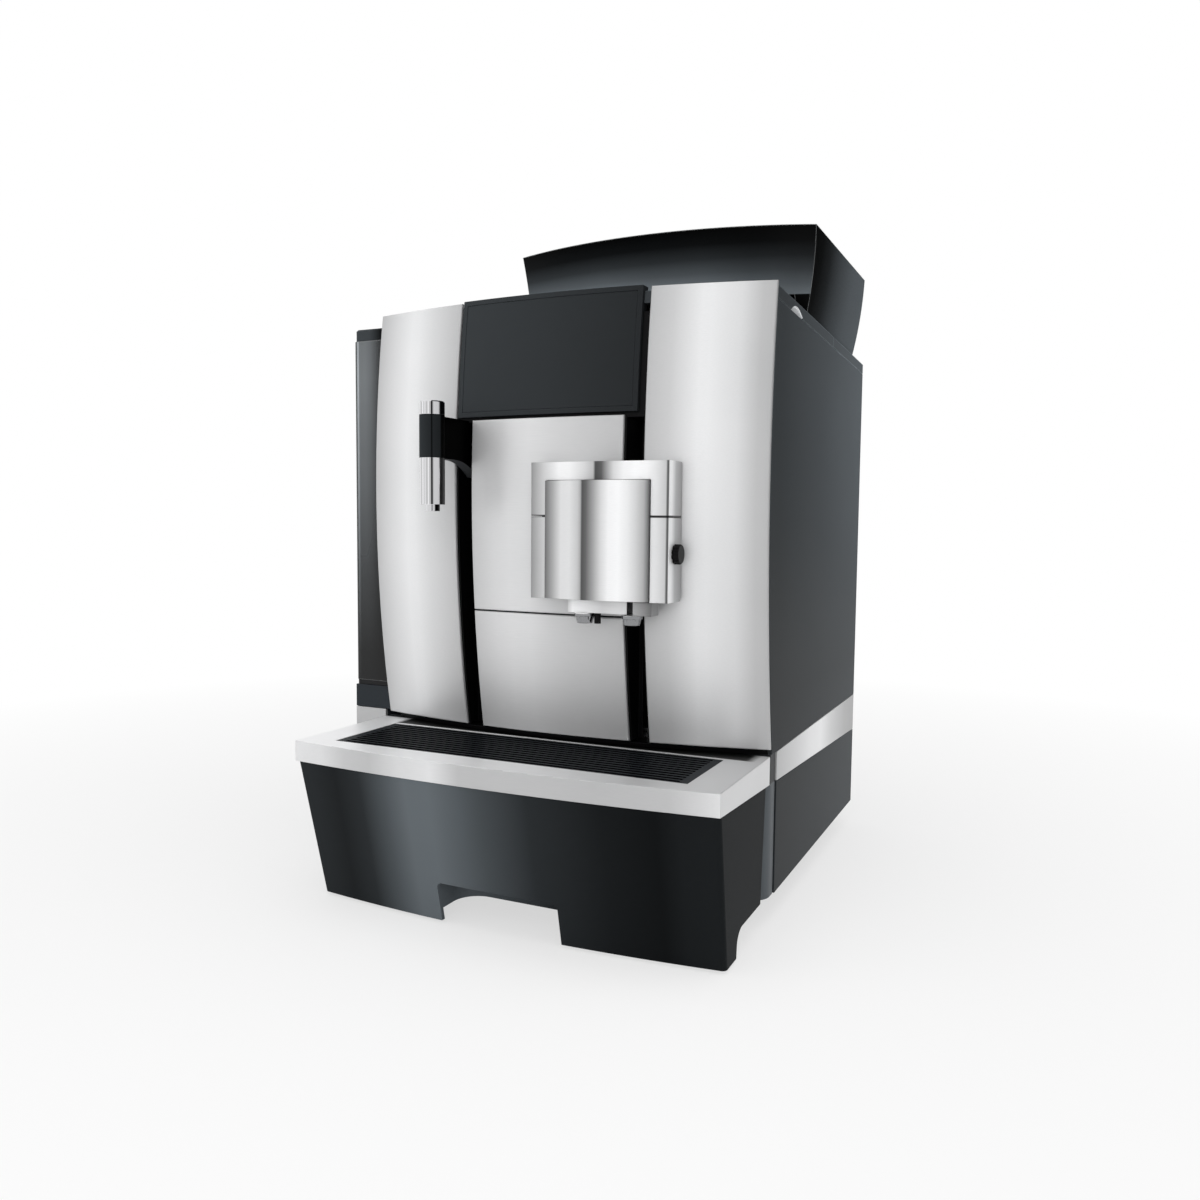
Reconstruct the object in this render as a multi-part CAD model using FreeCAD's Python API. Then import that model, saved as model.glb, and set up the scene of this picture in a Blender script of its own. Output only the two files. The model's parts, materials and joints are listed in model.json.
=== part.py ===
import FreeCAD, Part
import math
import os

V = FreeCAD.Vector
X_DIR = V(1, 0, 0)
Y_DIR = V(0, 1, 0)
Z_DIR = V(0, 0, 1)

# Overall sizes in millimetres: x from the tray's centre plane, front towards -y, z from the table
HALF_WIDTH = 185.0
TANK_OUT = 37.0
BACK_Y = 249.0
BASE_Z = 24.0
TOP_FRONT_Y = -84.0
TOP_FRONT_Z = 504.5
TOP_BACK_Z = 493.3

# Walls and clearances
WALL = 3.0
SHEET = 2.0
GAP = 0.3
SEAM = 0.6
RUN = 0.05
OVER = 1.0
CLOSE = 0.01
REAR_RECESS = 2.0

# Bowed front: a vertical belly arc swept round a distant upright axis
FRONT_Y = -127.0
FRONT_PLAN_R = 746.0
FRONT_SIDE_R = 1111.0
BELLY_Z = 351.0
SWEEP_DEG = 34.0
PANEL_Z0 = 146.0
PANEL_Z1 = 508.3
PANEL_T = 3.0
PANEL_EDGE_R = 1.2
LEFT_PANEL_INSET = 5.0
FRAME_T = 4.0
FRAME_Z1 = 489.0

# Slots in the front, centre panels and display
SLOT_W = 17.2
LEFT_SLOT_X = -75.3
RIGHT_SLOT_X = 80.4
LINER_T = 1.5
LINER_BACK_Y = -86.0
SLIT_W = 7.0
CENTRE_Z1 = 408.5
CENTRE_SEAM_Z = 248.8
DISPLAY_GAP = 2.3
DISPLAY_RIGHT_GAP = 6.3
DISPLAY_Z0 = 411.2
DISPLAY_RISE = 1.2
DISPLAY_T = 10.0
DISPLAY_BORDER = 4.0
GLASS_T = 2.2

# Silver wedge: the tray rim in front and the trim bands behind it share one sloping lower edge
BAND_TOP_Z = 141.0
BAND_FRONT_Z = 124.0
BAND_BACK_Z = 103.0
BAND_FRONT_Y = -64.0
LEFT_BAND_RISE = 5.5
RIM_FRONT_Y = -208.7
RIM_BACK_Y = -85.0
RIM_BOW = 11.5
RIM_WALL = 4.0
RIM_TOP_T = 6.0
RIM_EDGE_R = 0.8
RIM_OVERHANG = 5.0
GRID_SIDE = 29.3
GRID_FRONT_Y = -193.9
GRID_BACK_Y = -111.1
GRID_LEDGE = 3.7
GRID_LEDGE_T = 1.5
GRID_DROP = 0.3
GRID_RIBS = 13
GRID_RIB_W = 3.0
GRID_BARS = 6

# Drawer front: raked and bowed skirt with a hand notch and a foot on each side
SKIRT_Z = 3.0
SKIRT_TOP_Z = 130.0
SKIRT_FOOT_INSET = 3.6
SKIRT_TOP_INSET = 0.5
SKIRT_FOOT_Y = -177.5
SKIRT_TOP_Y = -208.0
SKIRT_BACK_Y = -93.0
SKIRT_WALL = 4.0
SKIRT_CORNER_R = 4.0
SKIRT_HEEL_Y = -153.0
SKIRT_HEEL_R = 12.0
NOTCH_HALF = 54.0
NOTCH_Z1 = 37.0
NOTCH_R = 5.0
POCKET_BACK_Y = -150.0
POCKET_Z0 = 13.0
POCKET_R = 24.0

# Drip tray and grounds container, carried by the drawer
TRAY_SIDE = 17.0
TRAY_FLOOR_Z = 60.0
TRAY_FOOT_Y = -184.0
TRAY_TOP_Y = -200.5
TRAY_WALL = 2.5
SLED_SIDE = 16.0
SLED_BACK_Y = 115.0
SLED_Z1 = 60.0
BIN_SIDE = 40.0
BIN_FRONT_Y = -50.0
BIN_BACK_Y = 108.0
BIN_Z1 = 112.0
BIN_TAPER = 8.0

# Drawer bay under the deck
BAY_SIDE = 19.0
BAY_FRAME_D = 24.0
BAY_FRAME_Y1 = -66.0
BAY_BEAM_D = 14.0
BAY_BEAM_Z = 116.0
BAY_POST_R = 16.0
BAY_FLANGE = 10.0
BAY_INSET = 1.0
DECK_Z = 141.5
DECK_T = 3.0
DECK_HOLE_HALF = 32.0
DECK_HOLE_X = -5.0
DECK_HOLE_Y = -10.0
FOOT_SIDE = 50.0
FOOT_FRONT_Y = -40.0
FOOT_BACK_Y = 215.0
FOOT_R = 19.0
POST_W = 20.0
POST_Z1 = 480.0

# Left wall, rear pillar and the water tank beside them
LEFT_WALL_INSET = 24.0
PILLAR_Y = 203.0
TANK_FRONT_Y = -82.0
TANK_SEAT_Z = 168.3
TANK_FOOT_H = 4.5
TANK_FOOT_INSET = 4.0
TANK_Z1 = 489.9
TANK_T = 2.5
TANK_R = 4.0
TANK_LID_T = 10.6
TANK_LID_INSET = 1.5
TANK_LID_EDGE = 1.5
TANK_GAP = 2.5
TANK_LUG_R = 3.5
TANK_LUG_W = 8.0
TANK_LUG_DROP = 6.0
TANK_LUG_Y = 40.0
VALVE_R = 10.0
VALVE_Y = 60.0
VALVE_DROP = 14.0

# Top covers, finger scoop and the lid for ground coffee
COVER_H = 9.4
COVER_SPLIT_Y = 104.0
SCOOP_Y = -33.0
SCOOP_RISE = 6.2
SCOOP_FACE_R = 33.8
SCOOP_R = 44.0
SCOOP_PAD = 9.0
SCOOP_PAD_HALF = 27.0
CHUTE_SIDE = 43.5
CHUTE_Y = 30.0
CHUTE_W = 56.0
CHUTE_L = 71.0
CHUTE_LEDGE = 5.5
CHUTE_DEPTH = 14.0
CHUTE_LID_T = 2.6
CHUTE_PIN_R = 0.8
CHUTE_PIN_L = 1.2

# Bean hopper: upright left wall, flared front and right walls
HOPPER_Z1 = 568.7
HOPPER_LEFT_X = -79.5
HOPPER_OUT = 9.5
HOPPER_FOOT_INSET = 5.0
HOPPER_FRONT_Y = -14.0
HOPPER_FOOT_FRONT_Y = 9.0
HOPPER_BACK_Y = 196.0
HOPPER_FOOT_BACK_Y = 206.0
HOPPER_BOW = 27.0
HOPPER_FOOT_BOW = 14.0
HOPPER_FOOT_Z = 488.0
HOPPER_T = 3.0
HOPPER_FLARE = 3.0
HOPPER_APRON_Z = 517.0
HOPPER_RIM = 6.0
HOPPER_LID_T = 4.5
LID_PIN_R = 1.5
LID_PIN_L = 1.8
FUNNEL_Z = 548.0
FUNNEL_PLAY = 1.2
FUNNEL_FOOT_Z = 504.0
NECK_R = 28.0

# Grinder under the hopper
GRINDER_X = 55.0
GRINDER_Y = 115.0
GRINDER_R = 52.0
GRINDER_DROP = 11.3
GRINDER_H = 97.0
GRINDER_SHOULDER = 12.0
BURR_R = 39.0
BURR_DROP = 58.0
BURR_T = 12.0
BURR_GAP = 2.0
BURR_ROOM = 1.0
BURR_SHAFT_R = 5.0
MOTOR_R = 40.0
MOTOR_Z0 = 230.0
PEDESTAL_R = 25.0

# Coffee spout on its carriage
SPOUT_X = 61.0
SPOUT_W = 118.0
SPOUT_Z0 = 263.6
SPOUT_Z1 = 371.0
SPOUT_SPLIT_Z = 328.7
SPOUT_Y = -145.0
SPOUT_BOW = 3.0
SPOUT_T = 3.0
SPOUT_EDGE_R = 1.5
SPOUT_OFF = 1.5
COVER_PLATE_W = 88.0
COVER_PLATE_Z1 = 356.4
COVER_PLATE_Y = -149.0
COVER_PLATE_BOW = 6.0
COVER_PLATE_T = 2.5
COVER_PLATE_GAP = 0.5
STEM_T = 6.0
STEM_Z0 = 287.0
STEM_Z1 = 347.0
CARRIER_T = 3.5
ROD_R = 4.0
ROD_SPACING = 26.0
ROD_Y = -70.0
SLIDER_DEPTH = 16.0
SLIDER_W = 40.0
ROD_END_H = 8.0

# Outlet heads under the spout
RAIL_R = 2.5
RAIL_Y = -137.0
RAIL_Z = 270.0
HEAD_Z0 = 253.4
HEAD_Y0 = -143.0
HEAD_Y1 = -129.0
LEFT_HEAD_X0 = 34.8
LEFT_HEAD_X1 = 85.5
RIGHT_HEAD_X0 = 90.5
RIGHT_HEAD_X1 = 106.0
LUG_W = 14.0
LEFT_LUG_X = 49.0
RIGHT_LUG_X = 98.0
NOZZLE_R = 8.2
NOZZLE_Z0 = 244.9
LEFT_NOZZLE_X = 46.9
RIGHT_NOZZLE_X = 87.4
NOZZLE_FLUTES = 10
NOZZLE_BORE_R = 3.0
NOZZLE_TAPER = 1.0
MILK_X = 58.0
MILK_R = 2.6
MILK_Z0 = 244.8

# Milk connector on the right flank
CONNECTOR_R = 7.7
CONNECTOR_Y = -132.0
CONNECTOR_Z = 300.4
CONNECTOR_T = 5.2
CONNECTOR_PIN_R = 3.0
CONNECTOR_EDGE_R = 1.0
CONNECTOR_GRIP_R = 1.6

# Hot-water spout
HOT_Y = -169.0
HOT_R = 10.2
HOT_CORE_R = 7.0
HOT_CAP_Z1 = 419.5
HOT_SLEEVE_Z1 = 408.7
HOT_SLEEVE_Z0 = 374.5
HOT_TUBE_Z0 = 337.3
HOT_TIP_Z0 = 332.0
HOT_TIP_R = 6.1
HOT_BORE_R = 4.0
HOT_EDGE = 1.0
ARM_T = 10.0
ARM_FLAT_L = 15.8
ARM_CURVE_R = 51.0
ARM_ROOT_H = 13.0
ARM_DROP = 0.5
ARM_STEM_Z0 = 362.0

# Brew unit
BREW_X0 = -50.0
BREW_X1 = 40.0
BREW_Y0 = -58.0
BREW_Y1 = 40.0
BREW_Z1 = 366.0
BREW_PLATE = 6.0
BREW_SIDE = 4.0
CHAMBER_Z0 = 200.0
CHAMBER_H = 70.0
CHAMBER_R = 25.0
CHAMBER_T = 4.0
CHAMBER_Y = -18.0
PISTON_T = 12.0
PISTON_ROD_R = 8.0
CROSSHEAD_Z = 322.0
CROSSHEAD_T = 14.0
SPINDLE_R = 5.0
SPINDLE_Y = 26.0
SPINDLE_GEAR_R = 12.0
SPINDLE_GEAR_T = 8.0

# Water path, boards, fan and inlet
BLOCK_SIDE = 17.0
BLOCK_W = 60.0
BLOCK_Y0 = -20.0
BLOCK_Y1 = 70.0
BLOCK_Z1 = 250.0
BLOCK_FINS = 7
PUMP_SIDE = 41.0
PUMP_Y0 = 118.0
PUMP_Y1 = 200.0
PUMP_Z = 175.0
PUMP_R = 22.0
PIPE_R = 3.0
PIPE_BEND_R = 15.0
PIPE_RUN_Y = 52.0
PIPE_TOP_Z = 395.0
BOARD_T = 1.6
BOARD_SIDE = 22.0
BOARD_Y0 = 0.0
BOARD_Y1 = 190.0
BOARD_Z0 = 300.0
BOARD_Z1 = 470.0
BOARD_PARTS = 4
SCREEN_BOARD_Y = -98.0
STANDOFF_R = 3.0
FAN_SIDE = 72.0
FAN_Z = 400.0
FAN_W = 80.0
FAN_T = 25.0
FAN_R = 37.0
FAN_HUB_R = 15.0
FAN_BLADES = 7
FAN_PIN_R = 3.0
FAN_ROOM = 1.0
FAN_BLADE_T = 1.6
FAN_ROOT_RISE = 4.0
FAN_TIP_RISE = 8.0
VENT_W = 70.0
VENT_H = 4.0
VENT_PITCH = 11.0
VENT_ROWS = 8
VENT_X = 55.0
VENT_Z = 215.0
INLET_SIDE = 35.0
INLET_W = 72.0
INLET_Z0 = 50.0
INLET_Z1 = 86.0
INLET_DEPTH = 27.0
SOCKET_SIDE = 25.0
SOCKET_W = 24.0
SOCKET_H = 17.0
SOCKET_DEPTH = 17.0
CONTACT_T = 2.0
SWITCH_SIDE = 60.0
SWITCH_W = 16.0
SWITCH_H = 22.0
ROCKER_DEPTH = 8.0
ROCKER_SINK = 1.4
ROCKER_DISH = 2.2
ROCKER_PIN_R = 1.5
ROCKER_PIN_L = 1.5
ROCKER_ROOM = 1.0

# Places that follow from the sizes above
SLOT_HALF = SLOT_W / 2
CENTRE_X0 = LEFT_SLOT_X + SLOT_HALF
CENTRE_X1 = RIGHT_SLOT_X - SLOT_HALF
LEFT_PANEL_X1 = LEFT_SLOT_X - SLOT_HALF
RIGHT_PANEL_X0 = RIGHT_SLOT_X + SLOT_HALF
RIGHT_PANEL_X1 = HALF_WIDTH - GAP
LEFT_PANEL_X0 = -HALF_WIDTH + LEFT_PANEL_INSET
LEFT_X = -HALF_WIDTH - TANK_OUT
LEFT_WALL_X = -HALF_WIDTH + LEFT_WALL_INSET
DISPLAY_X0 = LEFT_PANEL_X1 + DISPLAY_GAP
DISPLAY_X1 = RIGHT_PANEL_X0 - DISPLAY_RIGHT_GAP
DISPLAY_Z1 = PANEL_Z1 + DISPLAY_RISE
FRONT_AXIS_Y = FRONT_Y + FRONT_PLAN_R
FRAME_D0 = PANEL_T + GAP
FRAME_D1 = FRAME_D0 + FRAME_T
INNER_X = HALF_WIDTH - WALL
FLOOR_Z = BASE_Z + WALL
DECK_TOP_Z = DECK_Z + DECK_T
INNER_BACK_Y = BACK_Y - WALL - REAR_RECESS
REAR_Y = INNER_BACK_Y + WALL
RIM_PLATE_Z = BAND_TOP_Z - RIM_TOP_T
GRID_HALF = HALF_WIDTH - GRID_SIDE
SKIRT_FOOT_HALF = HALF_WIDTH - SKIRT_FOOT_INSET
SKIRT_TOP_HALF = HALF_WIDTH - SKIRT_TOP_INSET
TRAY_HALF = HALF_WIDTH - TRAY_SIDE
TRAY_BACK_Y = RIM_BACK_Y - RIM_OVERHANG
BAY_HALF = HALF_WIDTH - BAY_SIDE
BAY_FRAME_Y0 = BAY_FRAME_Y1 - BAY_FRAME_D
BAY_BEAM_Y0 = BAY_FRAME_Y1 - BAY_BEAM_D
SLED_HALF = BAY_HALF - SLED_SIDE
BIN_HALF = SLED_HALF - BIN_SIDE
FOOT_X = HALF_WIDTH - FOOT_SIDE
LEFT_BAND_Z1 = BAND_TOP_Z + LEFT_BAND_RISE
SEAT_FOOT_Z = LEFT_BAND_Z1 + SEAM
TANK_X1 = LEFT_WALL_X - TANK_GAP
TANK_BACK_Y = PILLAR_Y - TANK_GAP
TANK_LID_Z0 = TANK_Z1 + GAP
TANK_HINGE_X = TANK_X1 - TANK_LID_T / 2
TANK_HINGE_Z = TANK_LID_Z0 + TANK_LID_T / 2
TANK_LUG_REACH = math.hypot(TANK_LUG_R, TANK_HINGE_Z - TANK_Z1)
CHUTE_X = LEFT_WALL_X + CHUTE_SIDE
HOPPER_RIGHT_X = HALF_WIDTH + HOPPER_OUT
HOPPER_FOOT_RIGHT_X = HALF_WIDTH - HOPPER_FOOT_INSET
SPOUT_X0 = SPOUT_X - SPOUT_W / 2
SPOUT_X1 = SPOUT_X + SPOUT_W / 2
SLIDER_Y0 = ROD_Y - SLIDER_DEPTH / 2
SLIDER_Y1 = ROD_Y + SLIDER_DEPTH / 2
GRINDER_Z1 = TOP_BACK_Z - GRINDER_DROP
GRINDER_Z0 = GRINDER_Z1 - GRINDER_H
BURR_Z = GRINDER_Z1 - BURR_DROP
CHAMBER_Z1 = CHAMBER_Z0 + CHAMBER_H
BLOCK_X1 = INNER_X - BLOCK_SIDE
BLOCK_X0 = BLOCK_X1 - BLOCK_W
PUMP_X = LEFT_WALL_X + PUMP_SIDE
BOARD_X = INNER_X - BOARD_SIDE
FAN_X = INNER_X - FAN_SIDE
INLET_X0 = -HALF_WIDTH + INLET_SIDE
INLET_X1 = INLET_X0 + INLET_W
SOCKET_X = INLET_X0 + SOCKET_SIDE
SWITCH_X = INLET_X0 + SWITCH_SIDE
ROCKER_Y = REAR_Y - ROCKER_DEPTH
ROCKER_FACE_Y = REAR_Y - ROCKER_SINK
FAR = 400.0
CENTRING = V(-(LEFT_X + HOPPER_RIGHT_X) / 2, -(RIM_FRONT_Y - RIM_BOW + BACK_Y) / 2, 0)


# Solids used again and again
def box(x0, x1, y0, y1, z0, z1):
    return Part.makeBox(x1 - x0, y1 - y0, z1 - z0, V(x0, y0, z0))


def rod(radius, start, direction, length):
    return Part.makeCylinder(radius, length, start, direction)


def fuse(pieces):
    return pieces[0].multiFuse(pieces[1:]).removeSplitter()


def side_prism(yz, x0, x1):
    points = [V(x0, y, z) for y, z in yz]
    face = Part.Face(Part.makePolygon(points + points[:1]))
    return face.extrude(V(x1 - x0, 0, 0))


def turned(rz, x, y):
    points = [V(x + r, y, z) for r, z in rz]
    face = Part.Face(Part.makePolygon(points + points[:1]))
    return face.revolve(V(x, y, 0), Z_DIR, 360)


def edges_along(shape, direction):
    found = []
    for edge in shape.Edges:
        ends = edge.Vertexes
        if len(ends) == 2 and isinstance(edge.Curve, Part.Line):
            run = ends[1].Point.sub(ends[0].Point)
            if run.cross(direction).Length < CLOSE:
                found.append(edge)
    return found


def rounded_block(x0, x1, y0, y1, z0, z1, radius):
    block = box(x0, x1, y0, y1, z0, z1)
    return block.makeFillet(radius, edges_along(block, Z_DIR))


def bowed_wire(x0, x1, y_front, y_back, bow, z):
    left = V(x0, y_front, z)
    right = V(x1, y_front, z)
    middle = V((x0 + x1) / 2, y_front - bow, z)
    back_right = V(x1, y_back, z)
    back_left = V(x0, y_back, z)
    front = Part.Arc(left, middle, right).toShape()
    sides = Part.makePolygon([right, back_right, back_left, left])
    return Part.Wire([front] + sides.Edges)


def bowed_block(x0, x1, y_front, y_back, bow, z0, z1):
    face = Part.Face(bowed_wire(x0, x1, y_front, y_back, bow, z0))
    return face.extrude(V(0, 0, z1 - z0))


def rectangle_wire(x0, x1, y0, y1, z):
    corners = [V(x0, y0, z), V(x1, y0, z), V(x1, y1, z), V(x0, y1, z)]
    return Part.makePolygon(corners + corners[:1])


def pipe(points, radius, bend):
    edges = []
    start = points[0]
    for before, corner, after in zip(points, points[1:], points[2:]):
        back = before.sub(corner).normalize()
        ahead = after.sub(corner).normalize()
        half = back.getAngle(ahead) / 2
        reach = bend / math.tan(half)
        first = corner.add(V(back).multiply(reach))
        last = corner.add(V(ahead).multiply(reach))
        inward = back.add(ahead).normalize()
        middle = corner.add(inward.multiply(bend / math.sin(half) - bend))
        edges.append(Part.LineSegment(start, first).toShape())
        edges.append(Part.Arc(first, middle, last).toShape())
        start = last
    edges.append(Part.LineSegment(start, points[-1]).toShape())
    path = Part.Wire(edges)
    heading = points[1].sub(points[0])
    section = Part.Wire([Part.makeCircle(radius, points[0], heading)])
    return path.makePipeShell([section], True, False)


# The bowed front surface and slices of it
def section_y(z, depth):
    return FRONT_Y + FRONT_SIDE_R - math.sqrt((FRONT_SIDE_R - depth) ** 2 - (z - BELLY_Z) ** 2)


def front_y(x, z, depth=0.0):
    reach = FRONT_AXIS_Y - section_y(z, depth)
    return FRONT_AXIS_Y - math.sqrt(reach ** 2 - x ** 2)


def front_shell(depth0, depth1, z0, z1):
    middle = (z0 + z1) / 2
    outer = [V(0, section_y(z, depth0), z) for z in (z0, middle, z1)]
    inner = [V(0, section_y(z, depth1), z) for z in (z1, middle, z0)]
    edges = [
        Part.Arc(*outer).toShape(),
        Part.LineSegment(outer[2], inner[0]).toShape(),
        Part.Arc(*inner).toShape(),
        Part.LineSegment(inner[2], outer[0]).toShape(),
    ]
    face = Part.Face(Part.Wire(edges))
    axis = V(0, FRONT_AXIS_Y, 0)
    face.rotate(axis, Z_DIR, -SWEEP_DEG / 2)
    return face.revolve(axis, Z_DIR, SWEEP_DEG)


def front_slice(x0, x1, z0, z1, depth0, depth1):
    return front_shell(depth0, depth1, z0, z1).common(box(x0, x1, -FAR, FAR, z0, z1))


def front_panel(x0, x1, z0, z1):
    panel = front_slice(x0, x1, z0, z1, 0, PANEL_T)
    rim = []
    for edge in panel.Edges:
        point = edge.valueAt((edge.FirstParameter + edge.LastParameter) / 2)
        if abs(point.y - front_y(point.x, point.z)) < CLOSE:
            rim.append(edge)
    return panel.makeFillet(PANEL_EDGE_R, rim)


def ahead_of_front(depth):
    return front_shell(-FAR / 4, depth, PANEL_Z0 - WALL * 3, HOPPER_Z1)


def band_z(y):
    fall = (BAND_FRONT_Z - BAND_BACK_Z) / (BACK_Y - RIM_FRONT_Y)
    return BAND_FRONT_Z - fall * (y - RIM_FRONT_Y)


def top_z(y):
    fall = (TOP_FRONT_Z - TOP_BACK_Z) / (BACK_Y - TOP_FRONT_Y)
    return TOP_FRONT_Z - fall * (y - TOP_FRONT_Y)


def below_line(line, drop):
    upper = [(-FAR, line(-FAR) - drop), (FAR, line(FAR) - drop)]
    return side_prism([(-FAR, -FAR)] + upper + [(FAR, -FAR)], -FAR, FAR)


def below_band(drop=0.0):
    return below_line(band_z, drop)


def below_top(drop):
    return below_line(top_z, drop)


# Base, drawer bay and frame
def rubber_feet():
    lip = FOOT_R - WALL
    profile = [(0, 0), (lip, 0), (FOOT_R, WALL), (FOOT_R, BASE_Z - WALL), (lip, BASE_Z), (0, BASE_Z)]
    spots = [(x, y) for x in (-FOOT_X, FOOT_X) for y in (FOOT_FRONT_Y, FOOT_BACK_Y)]
    return Part.makeCompound([turned(profile, x, y) for x, y in spots])


def base_pan():
    floor = box(LEFT_X + WALL, INNER_X, BAY_FRAME_Y1, INNER_BACK_Y, BASE_Z, FLOOR_Z)
    tongue = box(LEFT_X + WALL, -HALF_WIDTH - WALL, TANK_FRONT_Y + WALL, BAY_FRAME_Y1, BASE_Z, FLOOR_Z)
    pan = fuse([floor, tongue])
    slot = VENT_PITCH / 2
    for row in range(VENT_ROWS):
        y = FOOT_FRONT_Y + FOOT_R * 3 + row * VENT_PITCH * 2
        pan = pan.cut(box(-VENT_W, VENT_W, y, y + slot, 0, FLOOR_Z + OVER))
    return pan


def bay_walls():
    walls = []
    for side in (-1, 1):
        face = side * BAY_HALF
        plate = box(min(face, face + side * SHEET), max(face, face + side * SHEET),
                    BAY_FRAME_Y1, INNER_BACK_Y, FLOOR_Z, DECK_Z)
        flange = box(min(face, face + side * BAY_FLANGE), max(face, face + side * BAY_FLANGE),
                     BAY_FRAME_Y1, INNER_BACK_Y, FLOOR_Z, FLOOR_Z + SHEET)
        walls.append(fuse([plate, flange]))
    return Part.makeCompound(walls)


def bay_front_frame():
    top = band_z(BAY_FRAME_Y0) - SEAM
    half = HALF_WIDTH - BAY_INSET
    posts = box(-half, half, BAY_FRAME_Y0, BAY_FRAME_Y1, BASE_Z, top)
    fronts = [e for e in edges_along(posts, Z_DIR) if e.CenterOfMass.y < BAY_FRAME_Y1 - OVER]
    posts = posts.makeFillet(BAY_POST_R, fronts)
    beam = box(-half, half, BAY_BEAM_Y0, BAY_FRAME_Y1, BAY_BEAM_Z, DECK_Z)
    frame = fuse([posts, beam])
    return frame.cut(box(-BAY_HALF, BAY_HALF, -FAR, FAR, 0, BAY_BEAM_Z))


def deck_plate():
    deck = box(LEFT_WALL_X + WALL, INNER_X, BAY_FRAME_Y1, INNER_BACK_Y, DECK_Z, DECK_TOP_Z)
    hole = rounded_block(DECK_HOLE_X - DECK_HOLE_HALF, DECK_HOLE_X + DECK_HOLE_HALF,
                         DECK_HOLE_Y - DECK_HOLE_HALF, DECK_HOLE_Y + DECK_HOLE_HALF,
                         DECK_Z - OVER, DECK_TOP_Z + OVER, BAY_FLANGE)
    return deck.cut(hole)


def frame_posts():
    posts = []
    left = LEFT_WALL_X + WALL
    for x, inward in ((left, 1), (INNER_X, -1)):
        for y, turn in ((BAY_FRAME_Y1, 1), (INNER_BACK_Y, -1)):
            leg_x = box(min(x, x + inward * POST_W), max(x, x + inward * POST_W),
                        min(y, y + turn * SHEET), max(y, y + turn * SHEET), DECK_TOP_Z, POST_Z1)
            leg_y = box(min(x, x + inward * SHEET), max(x, x + inward * SHEET),
                        min(y, y + turn * POST_W), max(y, y + turn * POST_W), DECK_TOP_Z, POST_Z1)
            posts.append(fuse([leg_x, leg_y]))
    return Part.makeCompound(posts)


# Outer panels and silver bands
def wedge_strip(x0, x1, y0, y1, top):
    strip = box(x0, x1, y0, y1, BASE_Z, top)
    return strip.cut(below_band())


def lower_strip(x0, x1, y0, y1):
    return box(x0, x1, y0, y1, BASE_Z, BAND_TOP_Z).common(below_band(SEAM))


def trim_bands():
    right = wedge_strip(INNER_X, HALF_WIDTH, BAND_FRONT_Y, BACK_Y, BAND_TOP_Z)
    side = wedge_strip(LEFT_X, LEFT_X + WALL, TANK_FRONT_Y, BACK_Y, LEFT_BAND_Z1)
    nose = wedge_strip(LEFT_X, -HALF_WIDTH - WALL, TANK_FRONT_Y, TANK_FRONT_Y + WALL, LEFT_BAND_Z1)
    return Part.makeCompound([right, fuse([side, nose])])


def base_side_panels():
    right = lower_strip(INNER_X, HALF_WIDTH, BAND_FRONT_Y, BACK_Y)
    side = lower_strip(LEFT_X, LEFT_X + WALL, TANK_FRONT_Y, BACK_Y)
    nose = lower_strip(LEFT_X, -HALF_WIDTH - WALL, TANK_FRONT_Y, TANK_FRONT_Y + WALL)
    return Part.makeCompound([right, fuse([side, nose])])


def right_side_panel():
    plate = box(INNER_X, HALF_WIDTH, FRONT_Y, BACK_Y, BAND_TOP_Z + SEAM, FAR * 2)
    plate = plate.common(below_top(COVER_H + SEAM))
    return plate.cut(ahead_of_front(PANEL_T + SEAM))


def left_side_panel():
    wall = box(LEFT_WALL_X, LEFT_WALL_X + WALL, TANK_FRONT_Y, INNER_BACK_Y, DECK_Z, FAR * 2)
    pillar_front = box(LEFT_X, LEFT_WALL_X, PILLAR_Y, PILLAR_Y + WALL, SEAT_FOOT_Z, FAR * 2)
    pillar_side = box(LEFT_X, LEFT_X + WALL, PILLAR_Y, BACK_Y, SEAT_FOOT_Z, FAR * 2)
    return fuse([wall, pillar_front, pillar_side]).common(below_top(COVER_H + SEAM))


def fan_grille():
    bars = []
    rows = int(FAN_R // VENT_PITCH)
    for row in range(-rows, rows + 1):
        dz = row * VENT_PITCH
        half = math.sqrt(FAN_R ** 2 - dz ** 2)
        bars.append(box(FAN_X - half, FAN_X + half, 0, FAR, FAN_Z + dz - VENT_H, FAN_Z + dz + VENT_H))
    return bars


def rear_panel():
    plate = box(LEFT_X + WALL, INNER_X, INNER_BACK_Y, REAR_Y, BASE_Z, FAR * 2)
    plate = plate.common(below_top(COVER_H + SEAM))
    cuts = fan_grille()
    for side in (-1, 1):
        for row in range(VENT_ROWS):
            z = VENT_Z + row * VENT_PITCH
            x = side * VENT_X
            cuts.append(box(x - VENT_W / 2, x + VENT_W / 2, 0, FAR, z, z + VENT_H))
    cuts.append(box(INLET_X0, INLET_X1, 0, FAR, INLET_Z0, INLET_Z1))
    for cut in cuts:
        plate = plate.cut(cut)
    return plate


def tank_seat():
    x1 = LEFT_WALL_X - GAP
    y1 = PILLAR_Y - GAP
    plate_z = TANK_SEAT_Z - GAP - WALL
    top = box(LEFT_X, x1, TANK_FRONT_Y, y1, SEAT_FOOT_Z, plate_z + WALL)
    hollow = box(LEFT_X + WALL, x1 - WALL, TANK_FRONT_Y + WALL, y1 - WALL, SEAT_FOOT_Z - OVER, plate_z)
    pieces = [top.cut(hollow)]
    for x in (LEFT_X + WALL, -HALF_WIDTH - WALL * 2):
        pieces.append(box(x, x + WALL, TANK_FRONT_Y + WALL, y1, FLOOR_Z, plate_z))
    socket_z = TANK_SEAT_Z - VALVE_DROP - WALL
    socket = rod(VALVE_R + GAP, V((LEFT_X + TANK_X1) / 2, VALVE_Y, socket_z), Z_DIR, FAR)
    return fuse(pieces).cut(socket)


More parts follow.
